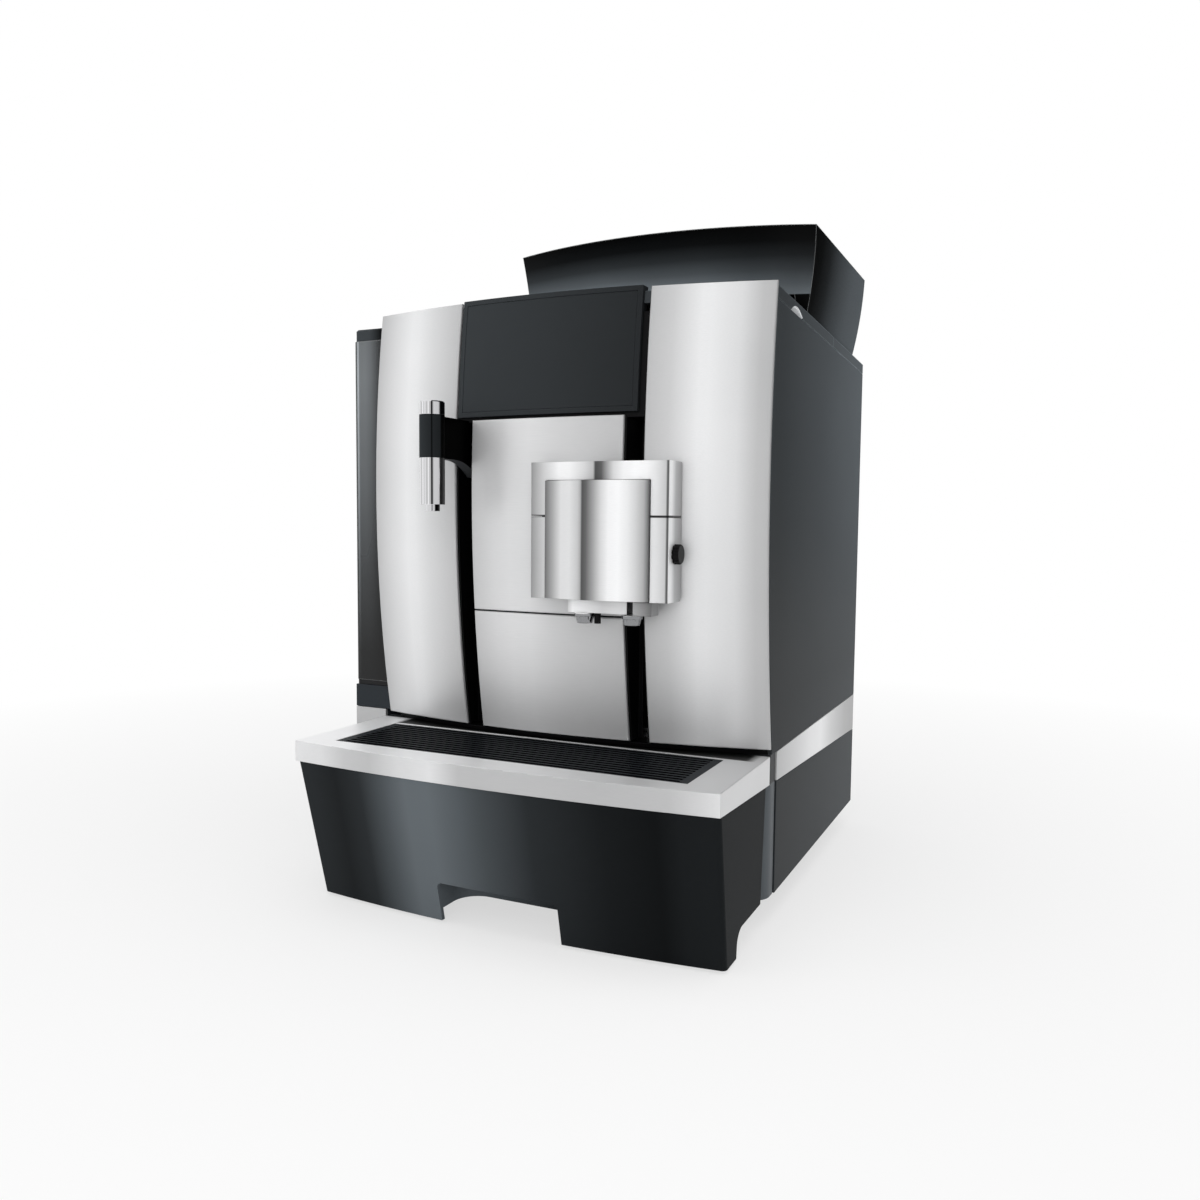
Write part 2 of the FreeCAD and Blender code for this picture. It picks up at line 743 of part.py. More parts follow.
# Front frame, panels, slots and display
def front_frame():
    shell = front_slice(LEFT_PANEL_X0, INNER_X - GAP, DECK_Z, FRAME_Z1, FRAME_D0, FRAME_D1)
    sill_front = FRAME_D0 + FRAME_T / 2
    back = TANK_FRONT_Y - SHEET
    sill = box(LEFT_PANEL_X0, INNER_X - GAP, FRONT_Y, BAY_FRAME_Y1, DECK_Z, DECK_TOP_Z)
    right = box(INNER_X - GAP - WALL, INNER_X - GAP, FRONT_Y, BAY_FRAME_Y1, DECK_Z, FRAME_Z1)
    left = box(LEFT_PANEL_X0, LEFT_PANEL_X0 + WALL, FRONT_Y, back, DECK_Z, FRAME_Z1)
    closing = box(LEFT_PANEL_X0, LEFT_WALL_X + WALL, back - WALL, back, DECK_Z, FRAME_Z1)
    frame = fuse([shell, sill, right, left, closing]).cut(ahead_of_front(sill_front))
    frame = fuse([frame, shell])
    frame = frame.cut(box(-FAR, LEFT_WALL_X + WALL + GAP, back, FAR, 0, FAR * 2))
    for x in (LEFT_SLOT_X, RIGHT_SLOT_X):
        frame = frame.cut(box(x - SLOT_HALF, x + SLOT_HALF, -FAR, LINER_BACK_Y, DECK_TOP_Z, CENTRE_Z1))
    window = box(DISPLAY_X0 - GAP, DISPLAY_X1 + GAP, -FAR, FAR, DISPLAY_Z0 - GAP, FAR * 2)
    return frame.cut(window)


def slot_liners():
    liners = []
    for x in (LEFT_SLOT_X, RIGHT_SLOT_X):
        channel = box(x - SLOT_HALF, x + SLOT_HALF, FRONT_Y, LINER_BACK_Y, PANEL_Z0, CENTRE_Z1)
        groove = box(x - SLOT_HALF + LINER_T, x + SLOT_HALF - LINER_T, -FAR, LINER_BACK_Y - LINER_T,
                     PANEL_Z0 - OVER, CENTRE_Z1 - LINER_T)
        slit = box(x - SLIT_W / 2, x + SLIT_W / 2, -FAR, FAR, PANEL_Z0 - OVER, CENTRE_Z1 - LINER_T)
        channel = channel.cut(ahead_of_front(FRAME_D0))
        liners.append(channel.cut(groove).cut(slit))
    return Part.makeCompound(liners)


def display_bezel():
    bezel = front_slice(DISPLAY_X0, DISPLAY_X1, DISPLAY_Z0, DISPLAY_Z1, 0, DISPLAY_T)
    recess = front_slice(DISPLAY_X0 + DISPLAY_BORDER, DISPLAY_X1 - DISPLAY_BORDER,
                         DISPLAY_Z0 + DISPLAY_BORDER, DISPLAY_Z1 - DISPLAY_BORDER, -OVER, GLASS_T + GAP * 2)
    return bezel.cut(recess)


def display_glass():
    inset = DISPLAY_BORDER + GAP
    return front_slice(DISPLAY_X0 + inset, DISPLAY_X1 - inset, DISPLAY_Z0 + inset, DISPLAY_Z1 - inset,
                       GAP, GAP + GLASS_T)


# Top covers
def top_cover(x0, x1, y0, y1):
    slab = box(x0, x1, y0, y1, 0, FAR * 2).common(below_top(0))
    slab = slab.cut(below_top(COVER_H))
    hollow = box(x0 + WALL, x1 - WALL, max(y0 + WALL, TANK_FRONT_Y), y1 - WALL, 0, FAR * 2)
    hollow = hollow.common(below_top(WALL))
    return slab.cut(hollow)


def neck_hole():
    return rod(NECK_R + SEAM, V(GRINDER_X, GRINDER_Y, 0), Z_DIR, FAR * 2)


def chute_block(inset, drop0, drop1):
    x0 = CHUTE_X - CHUTE_W / 2 + inset
    y0 = CHUTE_Y - CHUTE_L / 2 + inset
    block = box(x0, x0 + CHUTE_W - 2 * inset, y0, y0 + CHUTE_L - 2 * inset, 0, FAR * 2)
    return block.common(below_top(drop0)).cut(below_top(drop1))


def chute_hinge(radius, reach):
    y = CHUTE_Y + CHUTE_L / 2 - GAP - CHUTE_LID_T / 2
    start = V(CHUTE_X - CHUTE_W / 2 - reach, y, top_z(y) - CHUTE_LID_T / 2)
    return rod(radius, start, X_DIR, CHUTE_W + 2 * reach)


def top_slab(x0, x1, y0, y1):
    return box(x0, x1, y0, y1, 0, FAR * 2).common(below_top(0)).cut(below_top(COVER_H))


def top_cover_front():
    cover = top_cover(LEFT_WALL_X, HALF_WIDTH, FRONT_Y, COVER_SPLIT_Y - SEAM / 2)
    corner = top_slab(LEFT_PANEL_X0, LEFT_WALL_X + WALL, FRONT_Y, TANK_FRONT_Y - SHEET)
    pad = top_slab(HALF_WIDTH - SCOOP_PAD, HALF_WIDTH, SCOOP_Y - SCOOP_PAD_HALF, SCOOP_Y + SCOOP_PAD_HALF)
    cover = fuse([cover, corner, pad, chute_block(-WALL, WALL, CHUTE_DEPTH)])
    cover = cover.cut(chute_block(0, -OVER, WALL))
    cover = cover.cut(chute_block(CHUTE_LEDGE, -OVER, CHUTE_DEPTH + OVER))
    cover = cover.cut(neck_hole())
    scoop_x = HALF_WIDTH + math.sqrt(SCOOP_R ** 2 - SCOOP_FACE_R ** 2)
    scoop_z = top_z(SCOOP_Y) - COVER_H + SCOOP_RISE - SCOOP_FACE_R
    scoop = Part.makeSphere(SCOOP_R, V(scoop_x, SCOOP_Y, scoop_z))
    cover = cover.cut(chute_hinge(CHUTE_PIN_R + RUN, CHUTE_PIN_L + GAP))
    behind_display = box(DISPLAY_X0 - GAP, DISPLAY_X1 + GAP, -FAR, FAR, 0, FAR * 2)
    cover = cover.cut(scoop).cut(ahead_of_front(FRAME_D0))
    return cover.cut(ahead_of_front(DISPLAY_T + GAP).common(behind_display))


def top_cover_rear():
    cover = top_cover(LEFT_WALL_X, HALF_WIDTH, COVER_SPLIT_Y + SEAM / 2, BACK_Y)
    pillar_cap = top_cover(LEFT_X, LEFT_WALL_X + WALL, PILLAR_Y, BACK_Y)
    return fuse([cover, pillar_cap]).cut(neck_hole())


def chute_lid():
    nose = chute_hinge(CHUTE_LID_T / 2, -GAP)
    plate = chute_block(GAP, 0, CHUTE_LID_T).common(box(-FAR, FAR, -FAR, nose.CenterOfMass.y, 0, FAR * 2))
    return fuse([plate, nose, chute_hinge(CHUTE_PIN_R, CHUTE_PIN_L)])


# Bean hopper and its lid
def hopper_wire(inset, z):
    rise = (z - HOPPER_FOOT_Z) / (HOPPER_Z1 - HOPPER_FOOT_Z)
    bulge = HOPPER_FLARE * 4 * rise * (1 - rise)
    right = HOPPER_FOOT_RIGHT_X + (HOPPER_RIGHT_X - HOPPER_FOOT_RIGHT_X) * rise + bulge / 2
    front = HOPPER_FOOT_FRONT_Y + (HOPPER_FRONT_Y - HOPPER_FOOT_FRONT_Y) * rise + bulge
    back = HOPPER_FOOT_BACK_Y + (HOPPER_BACK_Y - HOPPER_FOOT_BACK_Y) * rise + bulge
    bow = HOPPER_FOOT_BOW + (HOPPER_BOW - HOPPER_FOOT_BOW) * rise
    return bowed_wire(HOPPER_LEFT_X + inset, right - inset, front + inset, back - inset, bow, z)


def hopper_loft(inset, z0, z1):
    middle = (z0 + z1) / 2
    return Part.makeLoft([hopper_wire(inset, z) for z in (z0, middle, z1)], True)


def hopper_hinge(radius, reach):
    y = HOPPER_BACK_Y - HOPPER_T - SEAM - HOPPER_LID_T / 2
    z = HOPPER_Z1 - SEAM - HOPPER_LID_T / 2
    x0 = HOPPER_LEFT_X + HOPPER_T - reach
    x1 = HOPPER_RIGHT_X - HOPPER_T + reach
    return rod(radius, V(x0, y, z), X_DIR, x1 - x0)


def hopper():
    outer = hopper_loft(0, HOPPER_FOOT_Z, HOPPER_Z1)
    inner = hopper_loft(HOPPER_T, HOPPER_FOOT_Z, HOPPER_Z1)
    shell = outer.cut(inner)
    apron = box(HOPPER_LEFT_X + HOPPER_RIM, HOPPER_FOOT_RIGHT_X - HOPPER_RIM, -FAR,
                HOPPER_FOOT_FRONT_Y + HOPPER_T * 4, 0, HOPPER_APRON_Z)
    ledge_top = HOPPER_Z1 - SEAM - HOPPER_LID_T - GAP
    ledge = hopper_loft(HOPPER_T / 2, HOPPER_FOOT_Z, HOPPER_Z1)
    ledge = ledge.cut(hopper_loft(HOPPER_RIM, HOPPER_FOOT_Z, HOPPER_Z1))
    ledge = ledge.common(box(-FAR, FAR, -FAR, FAR, ledge_top - HOPPER_T, ledge_top))
    walls = fuse([shell.cut(apron), ledge]).cut(below_top(-GAP))
    return walls.cut(hopper_hinge(LID_PIN_R + RUN, LID_PIN_L + GAP))


def funnel(inset):
    mouth = hopper_wire(HOPPER_T + FUNNEL_PLAY + inset, FUNNEL_Z)
    room = mouth.BoundBox
    front = min(v.Y for v in mouth.Vertexes)
    foot = NECK_R - inset
    top = rectangle_wire(room.XMin, room.XMax, front, room.YMax, FUNNEL_Z)
    bottom = rectangle_wire(GRINDER_X - foot, GRINDER_X + foot, GRINDER_Y - foot, GRINDER_Y + foot, FUNNEL_FOOT_Z)
    return Part.makeLoft([bottom, top], True, True)


def hopper_funnel():
    hole = funnel(HOPPER_T)
    room = hole.BoundBox
    shelf = Part.Face(hopper_wire(HOPPER_T + FUNNEL_PLAY, FUNNEL_Z)).extrude(V(0, 0, HOPPER_T))
    shelf = shelf.cut(box(room.XMin, room.XMax, room.YMin, room.YMax, FUNNEL_Z - OVER, FUNNEL_Z + HOPPER_T + OVER))
    cone = funnel(0).cut(hole)
    floor = box(GRINDER_X - NECK_R, GRINDER_X + NECK_R, GRINDER_Y - NECK_R, GRINDER_Y + NECK_R,
                FUNNEL_FOOT_Z - HOPPER_T, FUNNEL_FOOT_Z)
    neck_z = GRINDER_Z1 + GAP
    neck = rod(NECK_R, V(GRINDER_X, GRINDER_Y, neck_z), Z_DIR, FUNNEL_FOOT_Z - neck_z)
    bore = rod(NECK_R - HOPPER_T, V(GRINDER_X, GRINDER_Y, 0), Z_DIR, FUNNEL_FOOT_Z + HOPPER_T)
    return fuse([cone, shelf, floor, neck]).cut(bore)


def hopper_lid():
    top = HOPPER_Z1 - SEAM
    nose = hopper_hinge(HOPPER_LID_T / 2, -SEAM * 2)
    plate = hopper_loft(HOPPER_T + SEAM, HOPPER_FOOT_Z, HOPPER_Z1)
    plate = plate.common(box(-FAR, FAR, -FAR, nose.CenterOfMass.y, top - HOPPER_LID_T, top))
    return fuse([plate, nose, hopper_hinge(LID_PIN_R, LID_PIN_L)])


# Drawer
def tray_rim():
    outer = bowed_block(-HALF_WIDTH, HALF_WIDTH, RIM_FRONT_Y, RIM_BACK_Y, RIM_BOW, BASE_Z, BAND_TOP_Z)
    tops = [e for e in outer.Edges if min(v.Z for v in e.Vertexes) > BAND_TOP_Z - OVER]
    outer = outer.makeFillet(RIM_EDGE_R, tops)
    inner = bowed_block(-HALF_WIDTH + RIM_WALL, HALF_WIDTH - RIM_WALL, RIM_FRONT_Y + RIM_WALL, FAR, RIM_BOW,
                        0, RIM_PLATE_Z)
    window = box(-GRID_HALF, GRID_HALF, GRID_FRONT_Y, GRID_BACK_Y, RIM_PLATE_Z + GRID_LEDGE_T, FAR)
    drain_half = GRID_HALF - GRID_LEDGE
    drain = box(-drain_half, drain_half, GRID_FRONT_Y + GRID_LEDGE, GRID_BACK_Y - GRID_LEDGE, 0, FAR)
    return outer.cut(inner).cut(below_band()).cut(window).cut(drain)


def drip_grid():
    x0 = -GRID_HALF + GAP
    y0 = GRID_FRONT_Y + GAP
    y1 = GRID_BACK_Y - GAP
    z0 = RIM_PLATE_Z + GRID_LEDGE_T + GAP / 2
    z1 = BAND_TOP_Z - GRID_DROP
    plate = box(x0, -x0, y0, y1, z0, z1)
    pitch = (y1 - y0 - GRID_RIB_W) / (GRID_RIBS - 1)
    bar_pitch = (2 * GRID_HALF - GRID_LEDGE * 4) / (GRID_BARS - 1)
    cuts = []
    for gap in range(GRID_RIBS - 1):
        y = y0 + GRID_RIB_W + gap * pitch
        cuts.append(box(x0 + GRID_LEDGE * 2, -x0 - GRID_LEDGE * 2, y, y + pitch - GRID_RIB_W, 0, FAR))
    grid = plate.cut(Part.makeCompound(cuts))
    bars = []
    for bar in range(1, GRID_BARS - 1):
        x = x0 + GRID_LEDGE * 2 + bar * bar_pitch
        bars.append(box(x - GRID_RIB_W / 2, x + GRID_RIB_W / 2, y0, y1, z0, (z0 + z1) / 2))
    return fuse([grid] + bars)


def skirt_loft(inset, back_y):
    foot = (SKIRT_FOOT_HALF, SKIRT_FOOT_Y, SKIRT_Z)
    top = (SKIRT_TOP_HALF, SKIRT_TOP_Y, SKIRT_TOP_Z)
    wires = []
    for half, front, z in (foot, top):
        wires.append(bowed_wire(-half + inset, half - inset, front + inset, back_y, RIM_BOW, z))
    return Part.makeLoft(wires, True, True)


def drawer_front():
    outer = skirt_loft(0, SKIRT_BACK_Y)
    corners = []
    for edge in outer.Edges:
        rise = abs(edge.Vertexes[-1].Z - edge.Vertexes[0].Z)
        if rise > SKIRT_TOP_Z / 2 and edge.CenterOfMass.y < SKIRT_HEEL_Y:
            corners.append(edge)
    outer = outer.makeFillet(SKIRT_CORNER_R, corners)
    skirt = outer.cut(skirt_loft(SKIRT_WALL, FAR))
    heel = box(-FAR, FAR, SKIRT_HEEL_Y, 0, 0, BASE_Z)
    tops = [e for e in edges_along(heel, X_DIR) if e.CenterOfMass.z > OVER]
    inner_edge = [e for e in tops if e.CenterOfMass.y < SKIRT_HEEL_Y + OVER]
    heel = heel.makeFillet(SKIRT_HEEL_R, inner_edge)
    notch = box(-NOTCH_HALF, NOTCH_HALF, -FAR, POCKET_BACK_Y, 0, NOTCH_Z1)
    notch_top = [e for e in edges_along(notch, Y_DIR) if e.CenterOfMass.z > OVER]
    notch = notch.makeFillet(NOTCH_R, notch_top)
    half = NOTCH_HALF + WALL
    pocket = box(-half, half, -FAR, POCKET_BACK_Y + WALL, POCKET_Z0, NOTCH_Z1 + WALL)
    backs = [e for e in edges_along(pocket, Z_DIR) if e.CenterOfMass.y > POCKET_BACK_Y]
    pocket = pocket.makeFillet(POCKET_R, backs)
    hollow = box(-NOTCH_HALF, NOTCH_HALF, -FAR, POCKET_BACK_Y, 0, NOTCH_Z1)
    backs = [e for e in edges_along(hollow, Z_DIR) if e.CenterOfMass.y > -FAR + OVER]
    hollow = hollow.makeFillet(POCKET_R - WALL, backs)
    grip = pocket.common(outer).cut(hollow)
    skirt = fuse([skirt.cut(heel).cut(notch), grip])
    return skirt.common(below_band(GAP))


def drip_tray():
    foot = rectangle_wire(-TRAY_HALF, TRAY_HALF, TRAY_FOOT_Y, TRAY_BACK_Y, TRAY_FLOOR_Z)
    top = rectangle_wire(-TRAY_HALF, TRAY_HALF, TRAY_TOP_Y, TRAY_BACK_Y, RIM_PLATE_Z)
    basin = Part.makeLoft([foot, top], True, True)
    rake = (TRAY_TOP_Y - TRAY_FOOT_Y) / (RIM_PLATE_Z - TRAY_FLOOR_Z)
    half = TRAY_HALF - TRAY_WALL
    back = TRAY_BACK_Y - TRAY_WALL
    foot_y = TRAY_FOOT_Y + TRAY_WALL * (1 + rake)
    foot_in = rectangle_wire(-half, half, foot_y, back, TRAY_FLOOR_Z + TRAY_WALL)
    top_in = rectangle_wire(-half, half, TRAY_TOP_Y + TRAY_WALL, back, RIM_PLATE_Z)
    basin = basin.cut(Part.makeLoft([foot_in, top_in], True, True))
    sled_z = FLOOR_Z + GAP
    sled = box(-SLED_HALF, SLED_HALF, back, SLED_BACK_Y, sled_z, SLED_Z1)
    sled = sled.cut(box(-SLED_HALF + TRAY_WALL, SLED_HALF - TRAY_WALL, TRAY_BACK_Y, SLED_BACK_Y - TRAY_WALL,
                        sled_z + TRAY_WALL, FAR))
    joint = box(-SLED_HALF, SLED_HALF, back, TRAY_BACK_Y, SLED_Z1 - TRAY_WALL, TRAY_FLOOR_Z + TRAY_WALL)
    return fuse([basin, sled, joint])


def grounds_container():
    floor = FLOOR_Z + GAP + TRAY_WALL + GAP

    def body(inset, z0, z1):
        wires = []
        for edge, z in ((inset + BIN_TAPER, z0), (inset, z1)):
            half = BIN_HALF - edge
            wires.append(rectangle_wire(-half, half, BIN_FRONT_Y + edge, BIN_BACK_Y - edge, z))
        return Part.makeLoft(wires, True, True)

    return body(0, floor, BIN_Z1).cut(body(TRAY_WALL, floor + TRAY_WALL, BIN_Z1))


# Coffee spout
def spout_block():
    block = bowed_block(SPOUT_X0, SPOUT_X1, SPOUT_Y, FRONT_Y + FAR / 10, SPOUT_BOW, SPOUT_Z0, SPOUT_Z1)
    fronts = [e for e in edges_along(block, Z_DIR) if e.CenterOfMass.y < FRONT_Y]
    block = block.makeFillet(SPOUT_EDGE_R, fronts)
    behind = rod(FRONT_PLAN_R + SPOUT_OFF, V(0, FRONT_AXIS_Y, 0), Z_DIR, FAR * 2)
    block = block.cut(behind)
    hollow = bowed_block(SPOUT_X0 + SPOUT_T, SPOUT_X1 - SPOUT_T, SPOUT_Y + SPOUT_T, FAR, SPOUT_BOW,
                         0, SPOUT_Z1 - SPOUT_T)
    half = COVER_PLATE_W / 2 + COVER_PLATE_GAP
    window = box(SPOUT_X - half, SPOUT_X + half, -FAR, SPOUT_Y + SPOUT_T * 2,
                 0, COVER_PLATE_Z1 + COVER_PLATE_GAP)
    pin_hole = rod(CONNECTOR_PIN_R + RUN, V(SPOUT_X, CONNECTOR_Y, CONNECTOR_Z), X_DIR, SPOUT_W)
    return block.cut(hollow).cut(window).cut(pin_hole)


def spout_housing_upper():
    return spout_block().common(box(-FAR, FAR, -FAR, FAR, SPOUT_SPLIT_Z + SEAM / 2, FAR))


def spout_housing_lower():
    legs = spout_block().common(box(-FAR, FAR, -FAR, FAR, 0, SPOUT_SPLIT_Z - SEAM / 2))
    rail = rod(RAIL_R, V(SPOUT_X0 + SPOUT_T, RAIL_Y, RAIL_Z), X_DIR, SPOUT_W - SPOUT_T * 2)
    return fuse([legs, rail])


def spout_cover():
    x0 = SPOUT_X - COVER_PLATE_W / 2
    x1 = SPOUT_X + COVER_PLATE_W / 2
    back = SPOUT_Y + SPOUT_T
    z0 = SPOUT_Z0 + COVER_PLATE_GAP
    outer = bowed_block(x0, x1, COVER_PLATE_Y, back, COVER_PLATE_BOW, z0, COVER_PLATE_Z1)
    inner = bowed_block(x0 + COVER_PLATE_T, x1 - COVER_PLATE_T, COVER_PLATE_Y + COVER_PLATE_T, FAR,
                        COVER_PLATE_BOW, 0, COVER_PLATE_Z1 - COVER_PLATE_T)
    return outer.cut(inner)


def slider(x, z0, z1):
    block = box(x - SLIDER_W / 2, x + SLIDER_W / 2, SLIDER_Y0, SLIDER_Y1, z0, z1)
    for side in (-1, 1):
        block = block.cut(rod(ROD_R + RUN, V(x + side * ROD_SPACING / 2, ROD_Y, 0), Z_DIR, FAR * 2))
    return block


def spout_carriage():
    front = -FRONT_PLAN_R - SPOUT_OFF + FRONT_AXIS_Y
    inset = SPOUT_T + GAP
    plate = box(SPOUT_X0 + inset, SPOUT_X1 - inset, front - CARRIER_T, front, STEM_Z0, STEM_Z1)
    stem = box(RIGHT_SLOT_X - STEM_T / 2, RIGHT_SLOT_X + STEM_T / 2, front, SLIDER_Y0, STEM_Z0, STEM_Z1)
    return fuse([plate, stem, slider(RIGHT_SLOT_X, STEM_Z0, STEM_Z1)])


def guide_rods():
    groups = []
    for x in (LEFT_SLOT_X, RIGHT_SLOT_X):
        pieces = []
        for z in (DECK_TOP_Z, CENTRE_Z1 - ROD_END_H):
            pieces.append(box(x - SLIDER_W / 2, x + SLIDER_W / 2, SLIDER_Y0, SLIDER_Y1, z, z + ROD_END_H))
        for side in (-1, 1):
            start = V(x + side * ROD_SPACING / 2, ROD_Y, DECK_TOP_Z)
            pieces.append(rod(ROD_R, start, Z_DIR, CENTRE_Z1 - DECK_TOP_Z))
        groups.append(fuse(pieces))
    return Part.makeCompound(groups)


def nozzle(x, z1):
    flange = z1 - WALL
    profile = [
        (0, NOZZLE_Z0), (NOZZLE_R - NOZZLE_TAPER * 2, NOZZLE_Z0), (NOZZLE_R - NOZZLE_TAPER, flange),
        (NOZZLE_R, flange), (NOZZLE_R, z1), (0, z1),
    ]
    body = turned(profile, x, RAIL_Y)
    flutes = []
    for step in range(NOZZLE_FLUTES):
        angle = 2 * math.pi * step / NOZZLE_FLUTES
        spot = V(x + NOZZLE_R * math.cos(angle), RAIL_Y + NOZZLE_R * math.sin(angle), NOZZLE_Z0 - OVER)
        flutes.append(rod(NOZZLE_R / 5, spot, Z_DIR, flange - NOZZLE_Z0 + OVER))
    bore = rod(NOZZLE_BORE_R, V(x, RAIL_Y, 0), Z_DIR, z1 - WALL)
    return body.cut(Part.makeCompound(flutes)).cut(bore)


def lug(x):
    block = box(x - LUG_W / 2, x + LUG_W / 2, HEAD_Y0 + WALL, RAIL_Y + WALL, HEAD_Z0, RAIL_Z + RAIL_R * 2)
    return block.cut(rod(RAIL_R + RUN, V(x - LUG_W, RAIL_Y, RAIL_Z), X_DIR, LUG_W * 2))


def spout_head(x0, x1, lug_x, nozzle_x, foot):
    bar = box(x0, x1, HEAD_Y0, HEAD_Y1, foot, SPOUT_Z0 - GAP)
    return fuse([bar, lug(lug_x), nozzle(nozzle_x, foot)])


def spout_head_left():
    return spout_head(LEFT_HEAD_X0, LEFT_HEAD_X1, LEFT_LUG_X, LEFT_NOZZLE_X, HEAD_Z0)


def spout_head_right():
    return spout_head(RIGHT_HEAD_X0, RIGHT_HEAD_X1, RIGHT_LUG_X, RIGHT_NOZZLE_X, HEAD_Z0 - GAP * 2)


def milk_outlet():
    stub = rod(MILK_R, V(MILK_X, RAIL_Y, MILK_Z0), Z_DIR, HEAD_Z0 - MILK_Z0)
    return stub.cut(rod(MILK_R / 2, V(MILK_X, RAIL_Y, MILK_Z0), Z_DIR, MILK_R * 2))


def milk_connector():
    face = SPOUT_X1 + GAP
    knob = rod(CONNECTOR_R, V(face, CONNECTOR_Y, CONNECTOR_Z), X_DIR, CONNECTOR_T)
    rims = [e for e in knob.Edges if e.CenterOfMass.x > face + OVER and len(e.Vertexes) == 1]
    knob = knob.makeFillet(CONNECTOR_EDGE_R, rims)
    reach = CONNECTOR_R + CONNECTOR_GRIP_R / 2
    grips = []
    for step in range(NOZZLE_FLUTES):
        angle = 2 * math.pi * step / NOZZLE_FLUTES
        spot = V(face - OVER, CONNECTOR_Y + reach * math.cos(angle), CONNECTOR_Z + reach * math.sin(angle))
        grips.append(rod(CONNECTOR_GRIP_R, spot, X_DIR, CONNECTOR_T + OVER * 2))
    pin = rod(CONNECTOR_PIN_R, V(SPOUT_X1 - SPOUT_T, CONNECTOR_Y, CONNECTOR_Z), X_DIR, SPOUT_T + GAP)
    return fuse([knob.cut(Part.makeCompound(grips)), pin])


# Hot-water spout
def hot_water_arm():
    z1 = HOT_SLEEVE_Z1
    sleeve = rod(HOT_R, V(LEFT_SLOT_X, HOT_Y, HOT_SLEEVE_Z0), Z_DIR, z1 - HOT_SLEEVE_Z0)
    foot_z = HOT_SLEEVE_Z0 - ARM_ROOT_H
    side = ARM_T / 2
    arm = box(LEFT_SLOT_X - side, LEFT_SLOT_X + side, HOT_Y, LINER_BACK_Y - WALL, foot_z, CENTRE_Z1 - SHEET)
    front = box(LEFT_SLOT_X - side, LEFT_SLOT_X + side, HOT_Y, front_y(LEFT_SLOT_X, z1), foot_z, z1 - ARM_DROP)
    arm = fuse([arm, front])
    curve_y = HOT_Y + HOT_R + ARM_FLAT_L
    curve = rod(ARM_CURVE_R, V(LEFT_SLOT_X - ARM_T, curve_y, HOT_SLEEVE_Z0 - ARM_CURVE_R), X_DIR, ARM_T * 2)
    below = box(LEFT_SLOT_X - ARM_T, LEFT_SLOT_X + ARM_T, -FAR, curve_y, 0, HOT_SLEEVE_Z0)
    arm = arm.cut(fuse([curve, below]))
    stem = box(LEFT_SLOT_X - STEM_T / 2, LEFT_SLOT_X + STEM_T / 2, LINER_BACK_Y - WALL, SLIDER_Y0,
               ARM_STEM_Z0, CENTRE_Z1 - ROD_END_H - SHEET)
    block = slider(LEFT_SLOT_X, ARM_STEM_Z0, CENTRE_Z1 - ROD_END_H - SHEET)
    bore = rod(HOT_CORE_R + RUN, V(LEFT_SLOT_X, HOT_Y, 0), Z_DIR, FAR * 2)
    return fuse([sleeve, arm, stem, block]).cut(bore)


def hot_water_tube():
    profile = [
        (0, HOT_TIP_Z0), (HOT_TIP_R, HOT_TIP_Z0), (HOT_TIP_R, HOT_TUBE_Z0), (HOT_R, HOT_TUBE_Z0),
        (HOT_R, HOT_SLEEVE_Z0 - RUN), (HOT_CORE_R, HOT_SLEEVE_Z0 - RUN), (HOT_CORE_R, HOT_SLEEVE_Z1 + RUN),
        (HOT_R, HOT_SLEEVE_Z1 + RUN), (HOT_R, HOT_CAP_Z1 - HOT_EDGE), (HOT_R - HOT_EDGE, HOT_CAP_Z1),
        (0, HOT_CAP_Z1),
    ]
    tube = turned(profile, LEFT_SLOT_X, HOT_Y)
    return tube.cut(rod(HOT_BORE_R, V(LEFT_SLOT_X, HOT_Y, 0), Z_DIR, HOT_SLEEVE_Z0))


# Water tank
def tank_hinge(radius, y, half):
    return rod(radius, V(TANK_HINGE_X, y - half, TANK_HINGE_Z), Y_DIR, half * 2)


def tank_lug(y):
    half = TANK_LUG_W / 2
    stalk = box(TANK_HINGE_X - TANK_LUG_R, TANK_X1, y - half, y + half, TANK_Z1 - TANK_LUG_DROP, TANK_HINGE_Z)
    return fuse([stalk, tank_hinge(TANK_LUG_R, y, half)]).cut(tank_hinge(LID_PIN_R + RUN, y, half))


def water_tank():
    floor_z = TANK_SEAT_Z + TANK_FOOT_H
    outer = rounded_block(LEFT_X, TANK_X1, TANK_FRONT_Y, TANK_BACK_Y, floor_z, TANK_Z1, TANK_R)
    inner = rounded_block(LEFT_X + TANK_T, TANK_X1 - TANK_T, TANK_FRONT_Y + TANK_T, TANK_BACK_Y - TANK_T,
                          floor_z + TANK_T, TANK_Z1 + OVER, TANK_R - TANK_T)
    inset = TANK_FOOT_INSET
    plinth = box(LEFT_X + inset, TANK_X1 - inset, TANK_FRONT_Y + inset, TANK_BACK_Y - inset, TANK_SEAT_Z, floor_z)
    foot = V((LEFT_X + TANK_X1) / 2, VALVE_Y, TANK_SEAT_Z - VALVE_DROP)
    valve = rod(VALVE_R, foot, Z_DIR, VALVE_DROP + TANK_FOOT_H)
    lugs = [tank_lug(y) for y in (TANK_FRONT_Y + TANK_LUG_Y, TANK_BACK_Y - TANK_LUG_Y)]
    return fuse([outer.cut(inner), plinth, valve] + lugs)


